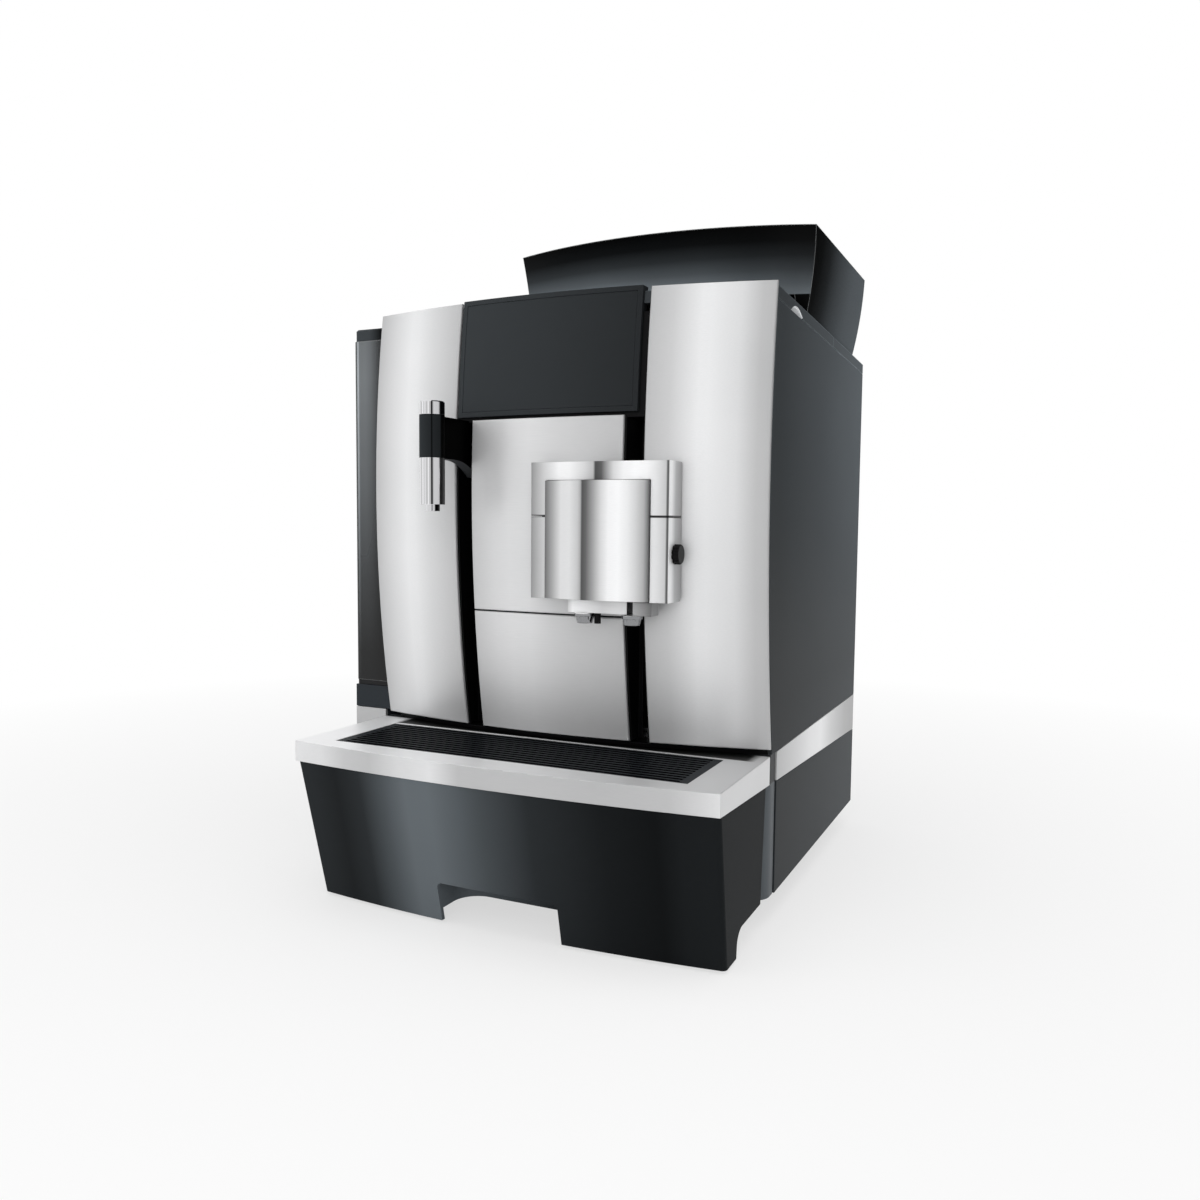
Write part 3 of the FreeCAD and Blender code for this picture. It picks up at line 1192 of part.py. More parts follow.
def tank_lid():
    z1 = TANK_LID_Z0 + TANK_LID_T
    x0 = LEFT_X + TANK_LID_INSET
    lid = rounded_block(x0, TANK_X1, TANK_FRONT_Y, TANK_BACK_Y, TANK_LID_Z0, z1, TANK_R)
    tops = [e for e in lid.Edges if e.BoundBox.ZMin > z1 - CLOSE]
    lid = lid.makeChamfer(TANK_LID_EDGE, tops)
    lid = lid.common(box(-FAR, TANK_HINGE_X, -FAR, FAR, 0, FAR * 2))
    hollow = box(x0 + WALL, TANK_X1 - TANK_LID_T, TANK_FRONT_Y + WALL, TANK_BACK_Y - WALL, 0, z1 - WALL)
    middle = (TANK_FRONT_Y + TANK_BACK_Y) / 2
    nose = tank_hinge(TANK_LID_T / 2, middle, TANK_BACK_Y - middle - TANK_LID_EDGE)
    lid = fuse([lid, nose]).cut(hollow)
    half = TANK_LUG_W / 2 + GAP
    pins = []
    for y in (TANK_FRONT_Y + TANK_LUG_Y, TANK_BACK_Y - TANK_LUG_Y):
        lid = lid.cut(tank_hinge(TANK_LUG_REACH + GAP, y, half))
        pins.append(tank_hinge(LID_PIN_R, y, half + OVER * 2))
    return fuse([lid] + pins)


# Grinder
def grinder_housing():
    cavity = BURR_R + BURR_ROOM
    profile = [
        (BURR_SHAFT_R + RUN, GRINDER_Z0), (GRINDER_R, GRINDER_Z0), (GRINDER_R, GRINDER_Z1 - GRINDER_SHOULDER),
        (BURR_R + WALL, GRINDER_Z1), (NECK_R, GRINDER_Z1), (NECK_R, GRINDER_Z1 - WALL),
        (cavity, GRINDER_Z1 - GRINDER_SHOULDER), (cavity, BURR_Z - WALL), (BURR_SHAFT_R + RUN, BURR_Z - WALL),
    ]
    return turned(profile, GRINDER_X, GRINDER_Y)


def lower_burr():
    top = BURR_Z + BURR_T
    profile = [
        (0, GRINDER_Z0 - POST_W), (BURR_SHAFT_R, GRINDER_Z0 - POST_W), (BURR_SHAFT_R, BURR_Z),
        (BURR_R, BURR_Z), (BURR_R, top - SHEET), (BURR_R - WALL, top),
        (BURR_SHAFT_R * 3, top - WALL), (BURR_SHAFT_R, top + WALL), (0, top + WALL),
    ]
    return turned(profile, GRINDER_X, GRINDER_Y)


def upper_burr():
    z0 = BURR_Z + BURR_T + BURR_GAP
    outer = BURR_R + BURR_ROOM - RUN
    eye = NECK_R - WALL
    profile = [(BURR_R - WALL, z0), (outer, z0), (outer, z0 + BURR_T), (eye, z0 + BURR_T), (eye, z0 + WALL)]
    return turned(profile, GRINDER_X, GRINDER_Y)


def grinder_motor():
    top = GRINDER_Z0
    profile = [
        (0, DECK_TOP_Z), (MOTOR_R + WALL * 2, DECK_TOP_Z), (MOTOR_R + WALL * 2, DECK_TOP_Z + WALL * 2),
        (PEDESTAL_R, DECK_TOP_Z + WALL * 4), (PEDESTAL_R, MOTOR_Z0 - WALL * 2),
        (MOTOR_R, MOTOR_Z0), (MOTOR_R, top), (BURR_SHAFT_R + RUN, top),
        (BURR_SHAFT_R + RUN, top - POST_W - SHEET), (0, top - POST_W - SHEET),
    ]
    return turned(profile, GRINDER_X, GRINDER_Y)


# Brew unit
def brew_frame():
    middle = (BREW_X0 + BREW_X1) / 2
    base = box(BREW_X0, BREW_X1, BREW_Y0, BREW_Y1, DECK_TOP_Z, DECK_TOP_Z + BREW_PLATE)
    head = box(BREW_X0, BREW_X1, BREW_Y0, BREW_Y1, BREW_Z1 - BREW_PLATE, BREW_Z1)
    sides = []
    for x in (BREW_X0, BREW_X1 - BREW_SIDE):
        sides.append(box(x, x + BREW_SIDE, BREW_Y0, BREW_Y1, DECK_TOP_Z, BREW_Z1))
    shelf = box(BREW_X0, BREW_X1, CHAMBER_Y - CHAMBER_R - CHAMBER_T, CHAMBER_Y + CHAMBER_R + CHAMBER_T,
                CHAMBER_Z0, CHAMBER_Z0 + BREW_PLATE)
    chamber = rod(CHAMBER_R + CHAMBER_T, V(middle, CHAMBER_Y, CHAMBER_Z0), Z_DIR, CHAMBER_Z1 - CHAMBER_Z0)
    bore = rod(CHAMBER_R, V(middle, CHAMBER_Y, CHAMBER_Z0 + BREW_PLATE), Z_DIR, CHAMBER_Z1 - CHAMBER_Z0)
    drop = box(DECK_HOLE_X - DECK_HOLE_HALF, DECK_HOLE_X + DECK_HOLE_HALF, BREW_Y0 + BREW_PLATE,
               SPINDLE_Y - SPINDLE_GEAR_R - WALL, DECK_Z, DECK_TOP_Z + BREW_PLATE + OVER)
    bearing = rod(SPINDLE_R + RUN, V(middle, SPINDLE_Y, 0), Z_DIR, FAR * 2)
    frame = fuse([base.cut(drop), head, shelf, chamber] + sides)
    return frame.cut(bore).cut(bearing)


def brew_piston():
    middle = (BREW_X0 + BREW_X1) / 2
    disc = rod(CHAMBER_R - RUN, V(middle, CHAMBER_Y, CHAMBER_Z1 + SHEET), Z_DIR, PISTON_T)
    stem = rod(PISTON_ROD_R, V(middle, CHAMBER_Y, CHAMBER_Z1 + SHEET), Z_DIR, CROSSHEAD_Z - CHAMBER_Z1)
    head = box(middle - PISTON_ROD_R * 2, middle + PISTON_ROD_R * 2, CHAMBER_Y - PISTON_ROD_R * 2,
               BREW_Y1, CROSSHEAD_Z, CROSSHEAD_Z + CROSSHEAD_T)
    head = head.cut(rod(SPINDLE_R + RUN, V(middle, SPINDLE_Y, 0), Z_DIR, FAR * 2))
    return fuse([disc, stem, head])


def brew_spindle():
    middle = (BREW_X0 + BREW_X1) / 2
    gear_z = DECK_TOP_Z + BREW_PLATE + GAP
    screw_z = DECK_TOP_Z + GAP
    screw = rod(SPINDLE_R, V(middle, SPINDLE_Y, screw_z), Z_DIR, BREW_Z1 - screw_z)
    gear = rod(SPINDLE_GEAR_R, V(middle, SPINDLE_Y, gear_z), Z_DIR, SPINDLE_GEAR_T)
    teeth = []
    count = NOZZLE_FLUTES * 2
    for step in range(count):
        angle = 2 * math.pi * step / count
        across = SPINDLE_GEAR_R * math.cos(angle)
        along = SPINDLE_GEAR_R * math.sin(angle)
        spot = V(middle + across, SPINDLE_Y + along, gear_z - OVER)
        teeth.append(rod(SPINDLE_GEAR_R / 12, spot, Z_DIR, SPINDLE_GEAR_T + OVER * 2))
    return fuse([screw, gear.cut(Part.makeCompound(teeth))])


def brew_motor():
    x = BREW_X0 - POST_W
    y = BREW_Y1 - POST_W
    shoulder = DECK_TOP_Z + POST_W * 3
    top = shoulder + POST_W
    radius = POST_W - SHEET
    profile = [
        (0, DECK_TOP_Z), (radius, DECK_TOP_Z), (radius, shoulder),
        (POST_W / 2, shoulder), (POST_W / 2, top), (0, top),
    ]
    body = turned(profile, x, y)
    flange = box(x, BREW_X0, y - POST_W / 2, y + POST_W / 2, DECK_TOP_Z, DECK_TOP_Z + BREW_PLATE)
    return fuse([body, flange])


# Water path
def thermoblock():
    body = box(BLOCK_X0, BLOCK_X1, BLOCK_Y0, BLOCK_Y1, DECK_TOP_Z + POST_W, BLOCK_Z1)
    pitch = (BLOCK_Z1 - DECK_TOP_Z - POST_W) / BLOCK_FINS
    for step in range(BLOCK_FINS):
        z = DECK_TOP_Z + POST_W + step * pitch
        body = body.cut(box(BLOCK_X1 - POST_W / 2, FAR, -FAR, FAR, z + pitch / 3, z + pitch * 2 / 3))
    feet = []
    for y in (BLOCK_Y0, BLOCK_Y1 - POST_W):
        feet.append(box(BLOCK_X0, BLOCK_X1, y, y + POST_W / 2, DECK_TOP_Z, DECK_TOP_Z + POST_W + OVER))
    return fuse([body] + feet)


def pump():
    body = rod(PUMP_R, V(PUMP_X, PUMP_Y0, PUMP_Z), Y_DIR, PUMP_Y1 - PUMP_Y0)
    collar = rod(PUMP_R + WALL, V(PUMP_X, PUMP_Y0 + POST_W, PUMP_Z), Y_DIR, POST_W)
    saddle = box(PUMP_X - PUMP_R, PUMP_X + PUMP_R, PUMP_Y0 + POST_W, PUMP_Y1 - POST_W, DECK_TOP_Z, PUMP_Z)
    return fuse([body, collar, saddle])


def water_pipes():
    middle = (BLOCK_X0 + BLOCK_X1) / 2
    brew_x = (BREW_X0 + BREW_X1) / 2 + PISTON_ROD_R * 2
    feed = [V(PUMP_X, PUMP_Y0, PUMP_Z), V(PUMP_X, PIPE_RUN_Y, PUMP_Z), V(BLOCK_X0, PIPE_RUN_Y, PUMP_Z)]
    y = CHAMBER_Y + POST_W / 2
    rise = [V(middle, y, BLOCK_Z1), V(middle, y, PIPE_TOP_Z)]
    hot = rise + [V(brew_x, y, PIPE_TOP_Z), V(brew_x, y, BREW_Z1)]
    pipes = [pipe(points, PIPE_R, PIPE_BEND_R) for points in (feed, hot)]
    return Part.makeCompound(pipes)


# Boards, fan and inlet
def circuit_boards():
    board = box(BOARD_X, BOARD_X + BOARD_T, BOARD_Y0, BOARD_Y1, BOARD_Z0, BOARD_Z1)
    parts = [board]
    for y in (BOARD_Y0 + POST_W / 2, BOARD_Y1 - POST_W / 2):
        for z in (BOARD_Z0 + POST_W / 2, BOARD_Z1 - POST_W / 2):
            parts.append(rod(STANDOFF_R, V(BOARD_X, y, z), X_DIR, INNER_X - BOARD_X))
    for step in range(BOARD_PARTS):
        y = BOARD_Y0 + POST_W * (1 + 2 * step)
        z = BOARD_Z0 + POST_W
        parts.append(box(BOARD_X - POST_W / 2, BOARD_X, y, y + POST_W, z, z + POST_W * 2))
        spot = V(BOARD_X - POST_W, y + POST_W / 2, BOARD_Z1 - POST_W * 2)
        parts.append(rod(POST_W / 4, spot, X_DIR, POST_W))
    control = fuse(parts)
    y = SCREEN_BOARD_Y
    screen = box(DISPLAY_X0 + POST_W, DISPLAY_X1 - POST_W, y, y + BOARD_T, DISPLAY_Z0 + WALL * 2, FRAME_Z1)
    posts = []
    for x in (DISPLAY_X0 + POST_W * 2, DISPLAY_X1 - POST_W * 2):
        z = (DISPLAY_Z0 + FRAME_Z1) / 2
        reach = y - front_y(x, z, DISPLAY_T) - GAP * 2
        posts.append(rod(STANDOFF_R, V(x, y - reach, z), Y_DIR, reach))
    return Part.makeCompound([control, fuse([screen] + posts)])


def fan_frame():
    half = FAN_W / 2
    frame = box(FAN_X - half, FAN_X + half, INNER_BACK_Y - FAN_T, INNER_BACK_Y, FAN_Z - half, FAN_Z + half)
    frame = frame.cut(rod(FAN_R + FAN_ROOM, V(FAN_X, 0, FAN_Z), Y_DIR, FAR))
    y = INNER_BACK_Y - FAN_T
    struts = []
    for turn in (0, 120, 240):
        strut = box(FAN_X, FAN_X + FAN_R + SHEET, y, y + WALL, FAN_Z - WALL / 2, FAN_Z + WALL / 2)
        strut.rotate(V(FAN_X, 0, FAN_Z), Y_DIR, turn)
        struts.append(strut)
    hub = rod(FAN_HUB_R, V(FAN_X, y, FAN_Z), Y_DIR, WALL)
    pin = rod(FAN_PIN_R, V(FAN_X, y, FAN_Z), Y_DIR, FAN_T - WALL)
    return fuse([frame, hub, pin] + struts)


def fan_rotor():
    y = INNER_BACK_Y - FAN_T + WALL + GAP
    length = FAN_T - WALL * 2 - GAP
    hub = rod(FAN_HUB_R, V(FAN_X, y, FAN_Z), Y_DIR, length)
    blades = []
    for step in range(FAN_BLADES):
        wires = []
        for reach, rise in ((FAN_HUB_R, FAN_ROOT_RISE), (FAN_R, FAN_TIP_RISE)):
            x = FAN_X + reach - FAN_ROOM
            low = V(x, y + FAN_ROOM, FAN_Z - rise)
            high = V(x, y + length - FAN_ROOM, FAN_Z + rise)
            lift = V(0, 0, FAN_BLADE_T)
            corners = [low, high, high.add(lift), low.add(lift)]
            wires.append(Part.makePolygon(corners + corners[:1]))
        blade = Part.makeLoft(wires, True, True)
        blade.rotate(V(FAN_X, 0, FAN_Z), Y_DIR, 360 * step / FAN_BLADES)
        blades.append(blade)
    bore = rod(FAN_PIN_R + RUN, V(FAN_X, 0, FAN_Z), Y_DIR, FAR)
    return fuse([hub] + blades).cut(bore)


def power_inlet():
    y1 = REAR_Y - GAP
    y0 = y1 - INLET_DEPTH
    body = box(INLET_X0 + GAP, INLET_X1 - GAP, y0, y1, INLET_Z0 + GAP, INLET_Z1 - GAP)
    z = (INLET_Z0 + INLET_Z1) / 2
    half = SOCKET_W / 2
    floor = y1 - SOCKET_DEPTH
    socket = box(SOCKET_X - half, SOCKET_X + half, floor, FAR, z - SOCKET_H / 2, z + SOCKET_H / 2)
    uppers = [e for e in edges_along(socket, Y_DIR) if e.CenterOfMass.z > z]
    socket = socket.makeChamfer(SOCKET_H / 3, uppers)
    half = SWITCH_W / 2
    well = box(SWITCH_X - half, SWITCH_X + half, y0 + WALL * 3, FAR, z - SWITCH_H / 2, z + SWITCH_H / 2)
    pivot = SWITCH_W / 2 + ROCKER_PIN_L
    holes = rod(ROCKER_PIN_R + RUN, V(SWITCH_X - pivot, ROCKER_Y, z), X_DIR, 2 * pivot)
    pins = []
    for dx, dz in ((-SOCKET_W / 4, -WALL / 2), (0, WALL / 2), (SOCKET_W / 4, -WALL / 2)):
        x = SOCKET_X + dx
        x0 = x - CONTACT_T / 2
        pins.append(box(x0, x0 + CONTACT_T, floor - OVER, y1 - WALL, z + dz - SHEET, z + dz + SHEET))
    return fuse([body.cut(socket).cut(well).cut(holes)] + pins)


def power_rocker():
    z = (INLET_Z0 + INLET_Z1) / 2
    half = SWITCH_H / 2 - ROCKER_ROOM
    x0 = SWITCH_X - SWITCH_W / 2 + GAP
    x1 = SWITCH_X + SWITCH_W / 2 - GAP
    face = [(ROCKER_FACE_Y, z - half), (ROCKER_FACE_Y - ROCKER_DISH, z), (ROCKER_FACE_Y, z + half)]
    back = [(ROCKER_Y, z + half - SHEET), (ROCKER_Y - WALL, z), (ROCKER_Y, z - half + SHEET)]
    rocker = side_prism(face + back, x0, x1)
    pivot = SWITCH_W / 2 + ROCKER_PIN_L - GAP
    pin = rod(ROCKER_PIN_R, V(SWITCH_X - pivot, ROCKER_Y, z), X_DIR, 2 * pivot)
    return fuse([rocker, pin])


PIECES = {
    "rubber_feet": rubber_feet,
    "base_pan": base_pan,
    "bay_walls": bay_walls,
    "bay_front_frame": bay_front_frame,
    "deck_plate": deck_plate,
    "frame_posts": frame_posts,
    "trim_bands": trim_bands,
    "base_side_panels": base_side_panels,
    "right_side_panel": right_side_panel,
    "left_side_panel": left_side_panel,
    "rear_panel": rear_panel,
    "tank_seat": tank_seat,
    "front_frame": front_frame,
    "slot_liners": slot_liners,
    "display_bezel": display_bezel,
    "display_glass": display_glass,
    "top_cover_front": top_cover_front,
    "top_cover_rear": top_cover_rear,
    "chute_lid": chute_lid,
    "hopper": hopper,
    "hopper_funnel": hopper_funnel,
    "hopper_lid": hopper_lid,
    "tray_rim": tray_rim,
    "drip_grid": drip_grid,
    "drawer_front": drawer_front,
    "drip_tray": drip_tray,
    "grounds_container": grounds_container,
    "spout_housing_upper": spout_housing_upper,
    "spout_housing_lower": spout_housing_lower,
    "spout_cover": spout_cover,
    "spout_carriage": spout_carriage,
    "guide_rods": guide_rods,
    "spout_head_left": spout_head_left,
    "spout_head_right": spout_head_right,
    "milk_outlet": milk_outlet,
    "milk_connector": milk_connector,
    "hot_water_arm": hot_water_arm,
    "hot_water_tube": hot_water_tube,
    "water_tank": water_tank,
    "tank_lid": tank_lid,
    "grinder_housing": grinder_housing,
    "lower_burr": lower_burr,
    "upper_burr": upper_burr,
    "grinder_motor": grinder_motor,
    "brew_frame": brew_frame,
    "brew_piston": brew_piston,
    "brew_spindle": brew_spindle,
    "brew_motor": brew_motor,
    "thermoblock": thermoblock,
    "pump": pump,
    "water_pipes": water_pipes,
    "circuit_boards": circuit_boards,
    "fan_frame": fan_frame,
    "fan_rotor": fan_rotor,
    "power_inlet": power_inlet,
    "power_rocker": power_rocker,
}
PANELS = {
    "front_panel_left": (LEFT_PANEL_X0, LEFT_PANEL_X1, PANEL_Z0, PANEL_Z1),
    "front_panel_right": (RIGHT_PANEL_X0, RIGHT_PANEL_X1, PANEL_Z0, PANEL_Z1),
    "centre_panel_upper": (CENTRE_X0, CENTRE_X1, CENTRE_SEAM_Z + SEAM, CENTRE_Z1),
    "centre_panel_lower": (CENTRE_X0, CENTRE_X1, PANEL_Z0, CENTRE_SEAM_Z - SEAM),
}


def save(name, shape):
    shape.translate(CENTRING)
    shape.exportStep("parts/" + name + ".step")
    print(name, len(shape.Solids), round(shape.Volume), shape.isValid())


os.makedirs("parts", exist_ok=True)
for name, build in PIECES.items():
    save(name, build())
for name, limits in PANELS.items():
    save(name, front_panel(*limits))
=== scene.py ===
import json
import math

import bpy
from mathutils import Matrix, Vector


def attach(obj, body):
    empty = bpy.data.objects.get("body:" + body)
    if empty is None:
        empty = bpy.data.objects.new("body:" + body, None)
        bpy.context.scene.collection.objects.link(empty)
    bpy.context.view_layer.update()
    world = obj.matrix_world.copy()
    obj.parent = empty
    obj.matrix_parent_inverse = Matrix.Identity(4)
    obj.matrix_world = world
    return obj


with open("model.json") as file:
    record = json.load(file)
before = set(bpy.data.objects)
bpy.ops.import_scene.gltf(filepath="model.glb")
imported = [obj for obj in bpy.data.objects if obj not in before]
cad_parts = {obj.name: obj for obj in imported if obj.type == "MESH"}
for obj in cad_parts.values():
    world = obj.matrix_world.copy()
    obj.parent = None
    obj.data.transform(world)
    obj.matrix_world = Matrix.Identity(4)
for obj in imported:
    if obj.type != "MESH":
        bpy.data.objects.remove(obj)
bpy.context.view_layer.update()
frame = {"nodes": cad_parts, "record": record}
nodes = frame["nodes"]

# Camera: place and clipping in metres, turn in degrees, lens and sensor in millimetres
CAMERA_AT = Vector((0.40945, -0.8731, 0.3238))
CAMERA_YAW = 24.95
CAMERA_PITCH = -4.34
CAMERA_ROLL = 0.54
CAMERA_LENS = 30.5
CAMERA_SENSOR = 36.0
CAMERA_NEAR = 0.01
CAMERA_FAR = 60.0

# Light: levels of the surroundings, and the lamps with their power in watts, width, height and place
WORLD_FILL = 0.44
WORLD_WHITE = 1.0
STUDIO_GAIN = 1.2
MIDDLE = (0.0, 0.0, 0.28)
LAMPS = (
    ("top_light", 16.0, 2.0, 1.6, (0.2, -0.5, 2.1)),
    ("left_light", 6.0, 1.2, 1.6, (-1.5, -1.5, 0.75)),
    ("front_light", 8.0, 1.4, 1.0, (0.9, -1.9, 1.3)),
    ("right_light", 7.0, 1.2, 1.2, (1.8, 0.6, 0.8)),
    ("low_light", 4.5, 1.6, 0.4, (0.2, -1.5, 0.35)),
)

# Floor: size, grey, and the fade from its shaded middle to plain white
FLOOR_SIZE = 9.0
FLOOR_GREY = (0.86, 0.86, 0.86, 1.0)
FLOOR_NEAR = 0.2
FLOOR_CLEAR = 1.3
FLOOR_NEAR_WHITE = 0.62

# Softboxes and gaps that reflections see round the studio: degrees from the front towards the right, level
STUDIO = (
    (-180, 0.25), (-165, 0.75), (-100, 0.80), (-72, 0.50), (-57, 1.00), (-44, 0.48), (-34, 0.84), (-25, 0.66),
    (-11, 0.48), (1, 0.95), (13, 0.46), (28, 0.50), (31, 0.08), (36, 0.08), (40, 0.55), (60, 0.60),
    (95, 0.60), (108, 0.05), (176, 0.02), (180, 0.25),
)

# Painted reflections and painted shade in bands on the steel spout, its outlet heads and the hot-water arm,
# across their width: share of the width, level
# Painted reflection bands across the spout's cover
COVER_BANDS = (
    (0.00, 0.14), (0.09, 0.40), (0.18, 0.74), (0.27, 0.76), (0.355, 0.58), (0.382, 0.42), (0.398, 0.07),
    (0.44, 0.12), (0.51, 0.36), (0.58, 0.68), (0.65, 0.90), (0.74, 0.94), (0.82, 0.82), (0.89, 0.64),
    (0.96, 0.42), (1.00, 0.14),
)
# Painted reflection bands across the spout's housing
HOUSING_BANDS = (
    (0.00, 0.28), (0.10, 0.60), (0.22, 0.92), (0.30, 0.90), (0.41, 0.70), (0.475, 0.52), (0.49, 0.06),
    (0.535, 0.10), (0.57, 0.32), (0.62, 0.68), (0.69, 0.90), (0.77, 0.96), (0.85, 0.92), (0.90, 0.80),
    (0.94, 0.68), (0.978, 0.56), (0.985, 0.10), (1.00, 0.10),
)
# Painted sheen on the housing's right flank, fading towards its back
FLANK_BANDS = ((0.0, 1.0), (0.15, 1.0), (0.5, 0.50), (1.0, 0.36))
# Painted shade on the right-facing ends of the outlet heads, darkest in the gap between them
HEAD_END_SHADE = ((0.0, 0.02), (0.3, 0.02), (0.7, 0.30), (1.0, 0.30))
# Painted shade along the seam between the housing's halves
SEAM_SHADE_LEVELS = ((0.0, 1.0), (0.2, 0.10), (0.8, 0.10), (1.0, 1.0))
# Painted reflection stripes across the chrome hot-water tube
TUBE_BANDS = (
    (0.00, 0.80), (0.12, 0.95), (0.735, 0.92), (0.75, 0.04), (0.79, 0.04), (0.805, 0.65), (0.84, 0.95),
    (1.00, 0.90),
)
# Painted shade on the back of the tube
TUBE_DEPTH_BANDS = ((0.0, 1.0), (0.31, 1.0), (0.35, 0.04), (1.0, 0.03))
# Painted sheen round the sleeve of the hot-water arm
SLEEVE_BANDS = (
    (0.00, 0.050), (0.20, 0.034), (0.60, 0.022), (0.74, 0.018), (0.76, 0.003), (0.785, 0.003), (0.80, 0.018),
    (1.00, 0.016),
)
# Painted shade on the arm behind the sleeve
ARM_BANDS = ((0.0, 1.0), (0.34, 1.0), (0.42, 0.02), (1.0, 0.01))
# Painted sheen across the outlet heads
HEAD_BANDS = (
    (0.00, 0.70), (0.06, 1.00), (0.25, 0.86), (0.42, 0.70), (0.62, 0.76), (0.68, 0.74), (0.78, 0.44),
    (1.00, 0.14),
)

# Painted sheen, painted highlights and painted shade in bands on the front panels, the rims and the plastics
# Painted sheen across the front panels
LEFT_BANDS = ((0.0, 0.53), (0.22, 0.72), (0.42, 0.86), (0.52, 0.84), (0.70, 0.70), (1.0, 0.52))
CENTRE_BANDS = (
    (0.0, 0.56), (0.165, 0.70), (0.27, 0.75), (0.40, 0.75), (0.56, 0.66), (0.72, 0.60), (1.0, 0.52),
)
RIGHT_BANDS = ((0.0, 0.50), (0.20, 0.60), (0.43, 0.82), (0.51, 0.82), (0.74, 0.71), (0.90, 0.52), (1.0, 0.48))
# Painted sheen across the front of the tray rim
RIM_BANDS = (
    (0.0, 0.76), (0.08, 0.72), (0.15, 0.56), (0.22, 0.52), (0.30, 0.70), (0.38, 0.76), (0.45, 0.50),
    (0.60, 0.50), (0.75, 0.48), (0.90, 0.50), (0.97, 0.64), (1.0, 0.72),
)
# Painted sheen across the trim
TRIM_BANDS = ((0.0, 0.50), (0.2, 0.70), (0.35, 0.88), (0.5, 0.96), (0.65, 0.70), (0.85, 0.48), (1.0, 0.42))
# Painted highlight: a broad band on the drawer front, left of its middle
DRAWER_BANDS = (
    (0.0, 0.021), (0.08, 0.014), (0.155, 0.026), (0.225, 0.080), (0.29, 0.138), (0.355, 0.138), (0.49, 0.066),
    (0.61, 0.024), (0.78, 0.010), (0.90, 0.006), (0.95, 0.011), (1.0, 0.012),
)
# Painted reflection on the display, lighter at its left
DISPLAY_BANDS = ((0.0, 0.034), (0.5, 0.026), (1.0, 0.016))
# Painted light on the slate panels, lighter towards the rear
SIDE_BANDS = ((0.0, 0.040), (0.12, 0.043), (0.52, 0.080), (0.8, 0.112), (1.0, 0.130))
# Painted shade on the slate panels, darker towards the bottom
SIDE_RISE = ((0.0, 0.46), (0.17, 0.46), (0.34, 0.45), (0.49, 0.61), (0.67, 0.85), (0.88, 1.0), (1.0, 1.0))
# Hopper: a painted reflection on its front, near black in the gap at its foot, lightest just above and
# darkening upwards
HOPPER_FRONT_BANDS = (
    (0.0, 0.0004), (0.036, 0.0004), (0.045, 0.62), (0.2, 0.362), (0.4, 0.16), (0.6, 0.049), (0.8, 0.008),
    (1.0, 0.0005),
)
# Painted shade on the hopper's front, darker towards the right
HOPPER_WIDTH_BANDS = (
    (0.0, 1.0), (0.31, 1.0), (0.48, 0.78), (0.65, 0.69), (0.80, 0.42), (0.87, 0.36), (0.93, 0.27),
    (1.0, 0.22),
)
# Painted shade on the hopper's sides and back, lighter towards the rear
HOPPER_SIDE_BANDS = ((0.0, 0.0005), (0.15, 0.003), (0.3, 0.016), (0.5, 0.060), (0.75, 0.105), (1.0, 0.12))
# Painted highlight: a light line near the tank's left wall, with painted shade darker towards the right
TANK_WIDTH_BANDS = (
    (0.0, 0.14), (0.060, 0.16), (0.072, 1.0), (0.092, 1.0), (0.108, 0.42), (0.23, 0.42), (0.33, 0.34),
    (0.42, 0.20), (0.50, 0.08), (1.0, 0.08),
)
# Painted shade on the tank lid, darker towards the right
LID_BANDS = ((0.0, 0.052), (0.3, 0.046), (0.42, 0.022), (0.50, 0.006), (1.0, 0.006))
# Painted shade on the bay frame above the foot of its posts, where it sits in a gap
POST_SHADE_LEVELS = ((0.0, 1.0), (0.3, 1.0), (0.7, 0.16), (1.0, 0.16))
# Painted shade at the back of the tray rim, under the panels, near black
CHANNEL_BANDS = ((0.0, 0.0), (0.35, 0.0), (0.5, 1.0), (1.0, 1.0))
CHANNEL_ENDS = ((0.0, 0.0), (0.014, 0.0), (0.03, 1.0), (0.96, 1.0), (0.98, 0.0), (1.0, 0.0))
# Painted sheen across the top of the tray rim
RIM_TOP_BANDS = ((0.0, 1.0), (0.35, 0.95), (0.55, 0.80), (0.8, 0.62), (1.0, 0.60))
# Painted light and shade on the tank, darker towards the bottom
TANK_BANDS = ((0.0, 0.02), (0.15, 0.05), (0.35, 0.25), (0.6, 0.66), (0.9, 1.0), (1.0, 0.9))

# Where the painted bands of light and shade lie: axis, start and end in metres, levels
CENTRE_SHEEN = ("X", -0.0530, 0.0856, CENTRE_BANDS)
LEFT_SHEEN = ("X", -0.1663, -0.0702, LEFT_BANDS)
RIGHT_SHEEN = ("X", 0.1028, 0.1985, RIGHT_BANDS)
COVER_SHEEN = ("X", 0.0308, 0.1187, COVER_BANDS)
HOUSING_SHEEN = ("X", 0.0158, 0.1338, HOUSING_BANDS)
HOUSING_FLANK = ("Y", -0.158, -0.1332, FLANK_BANDS)
PAINTED_SEAM_SHADE = ("Z", 0.3277, 0.3300, SEAM_SHADE_LEVELS)
HEAD_SHEEN = ("X", 0.0485, 0.1198, HEAD_BANDS)
HEAD_FLANK = ("X", 0.099, 0.120, HEAD_END_SHADE)
RIM_SHEEN = ("X", -0.1713, 0.1988, RIM_BANDS)
RIM_TOP = ("X", -0.1713, 0.1988, RIM_TOP_BANDS)
RIM_CHANNEL = ("Y", -0.126, -0.118, CHANNEL_BANDS)
RIM_CHANNEL_ENDS = ("X", -0.150, 0.200, CHANNEL_ENDS)
TRIM_SHEEN = ("Y", -0.0784, 0.2346, TRIM_BANDS)
TUBE_SHEEN = ("X", -0.07175, -0.05135, TUBE_BANDS)
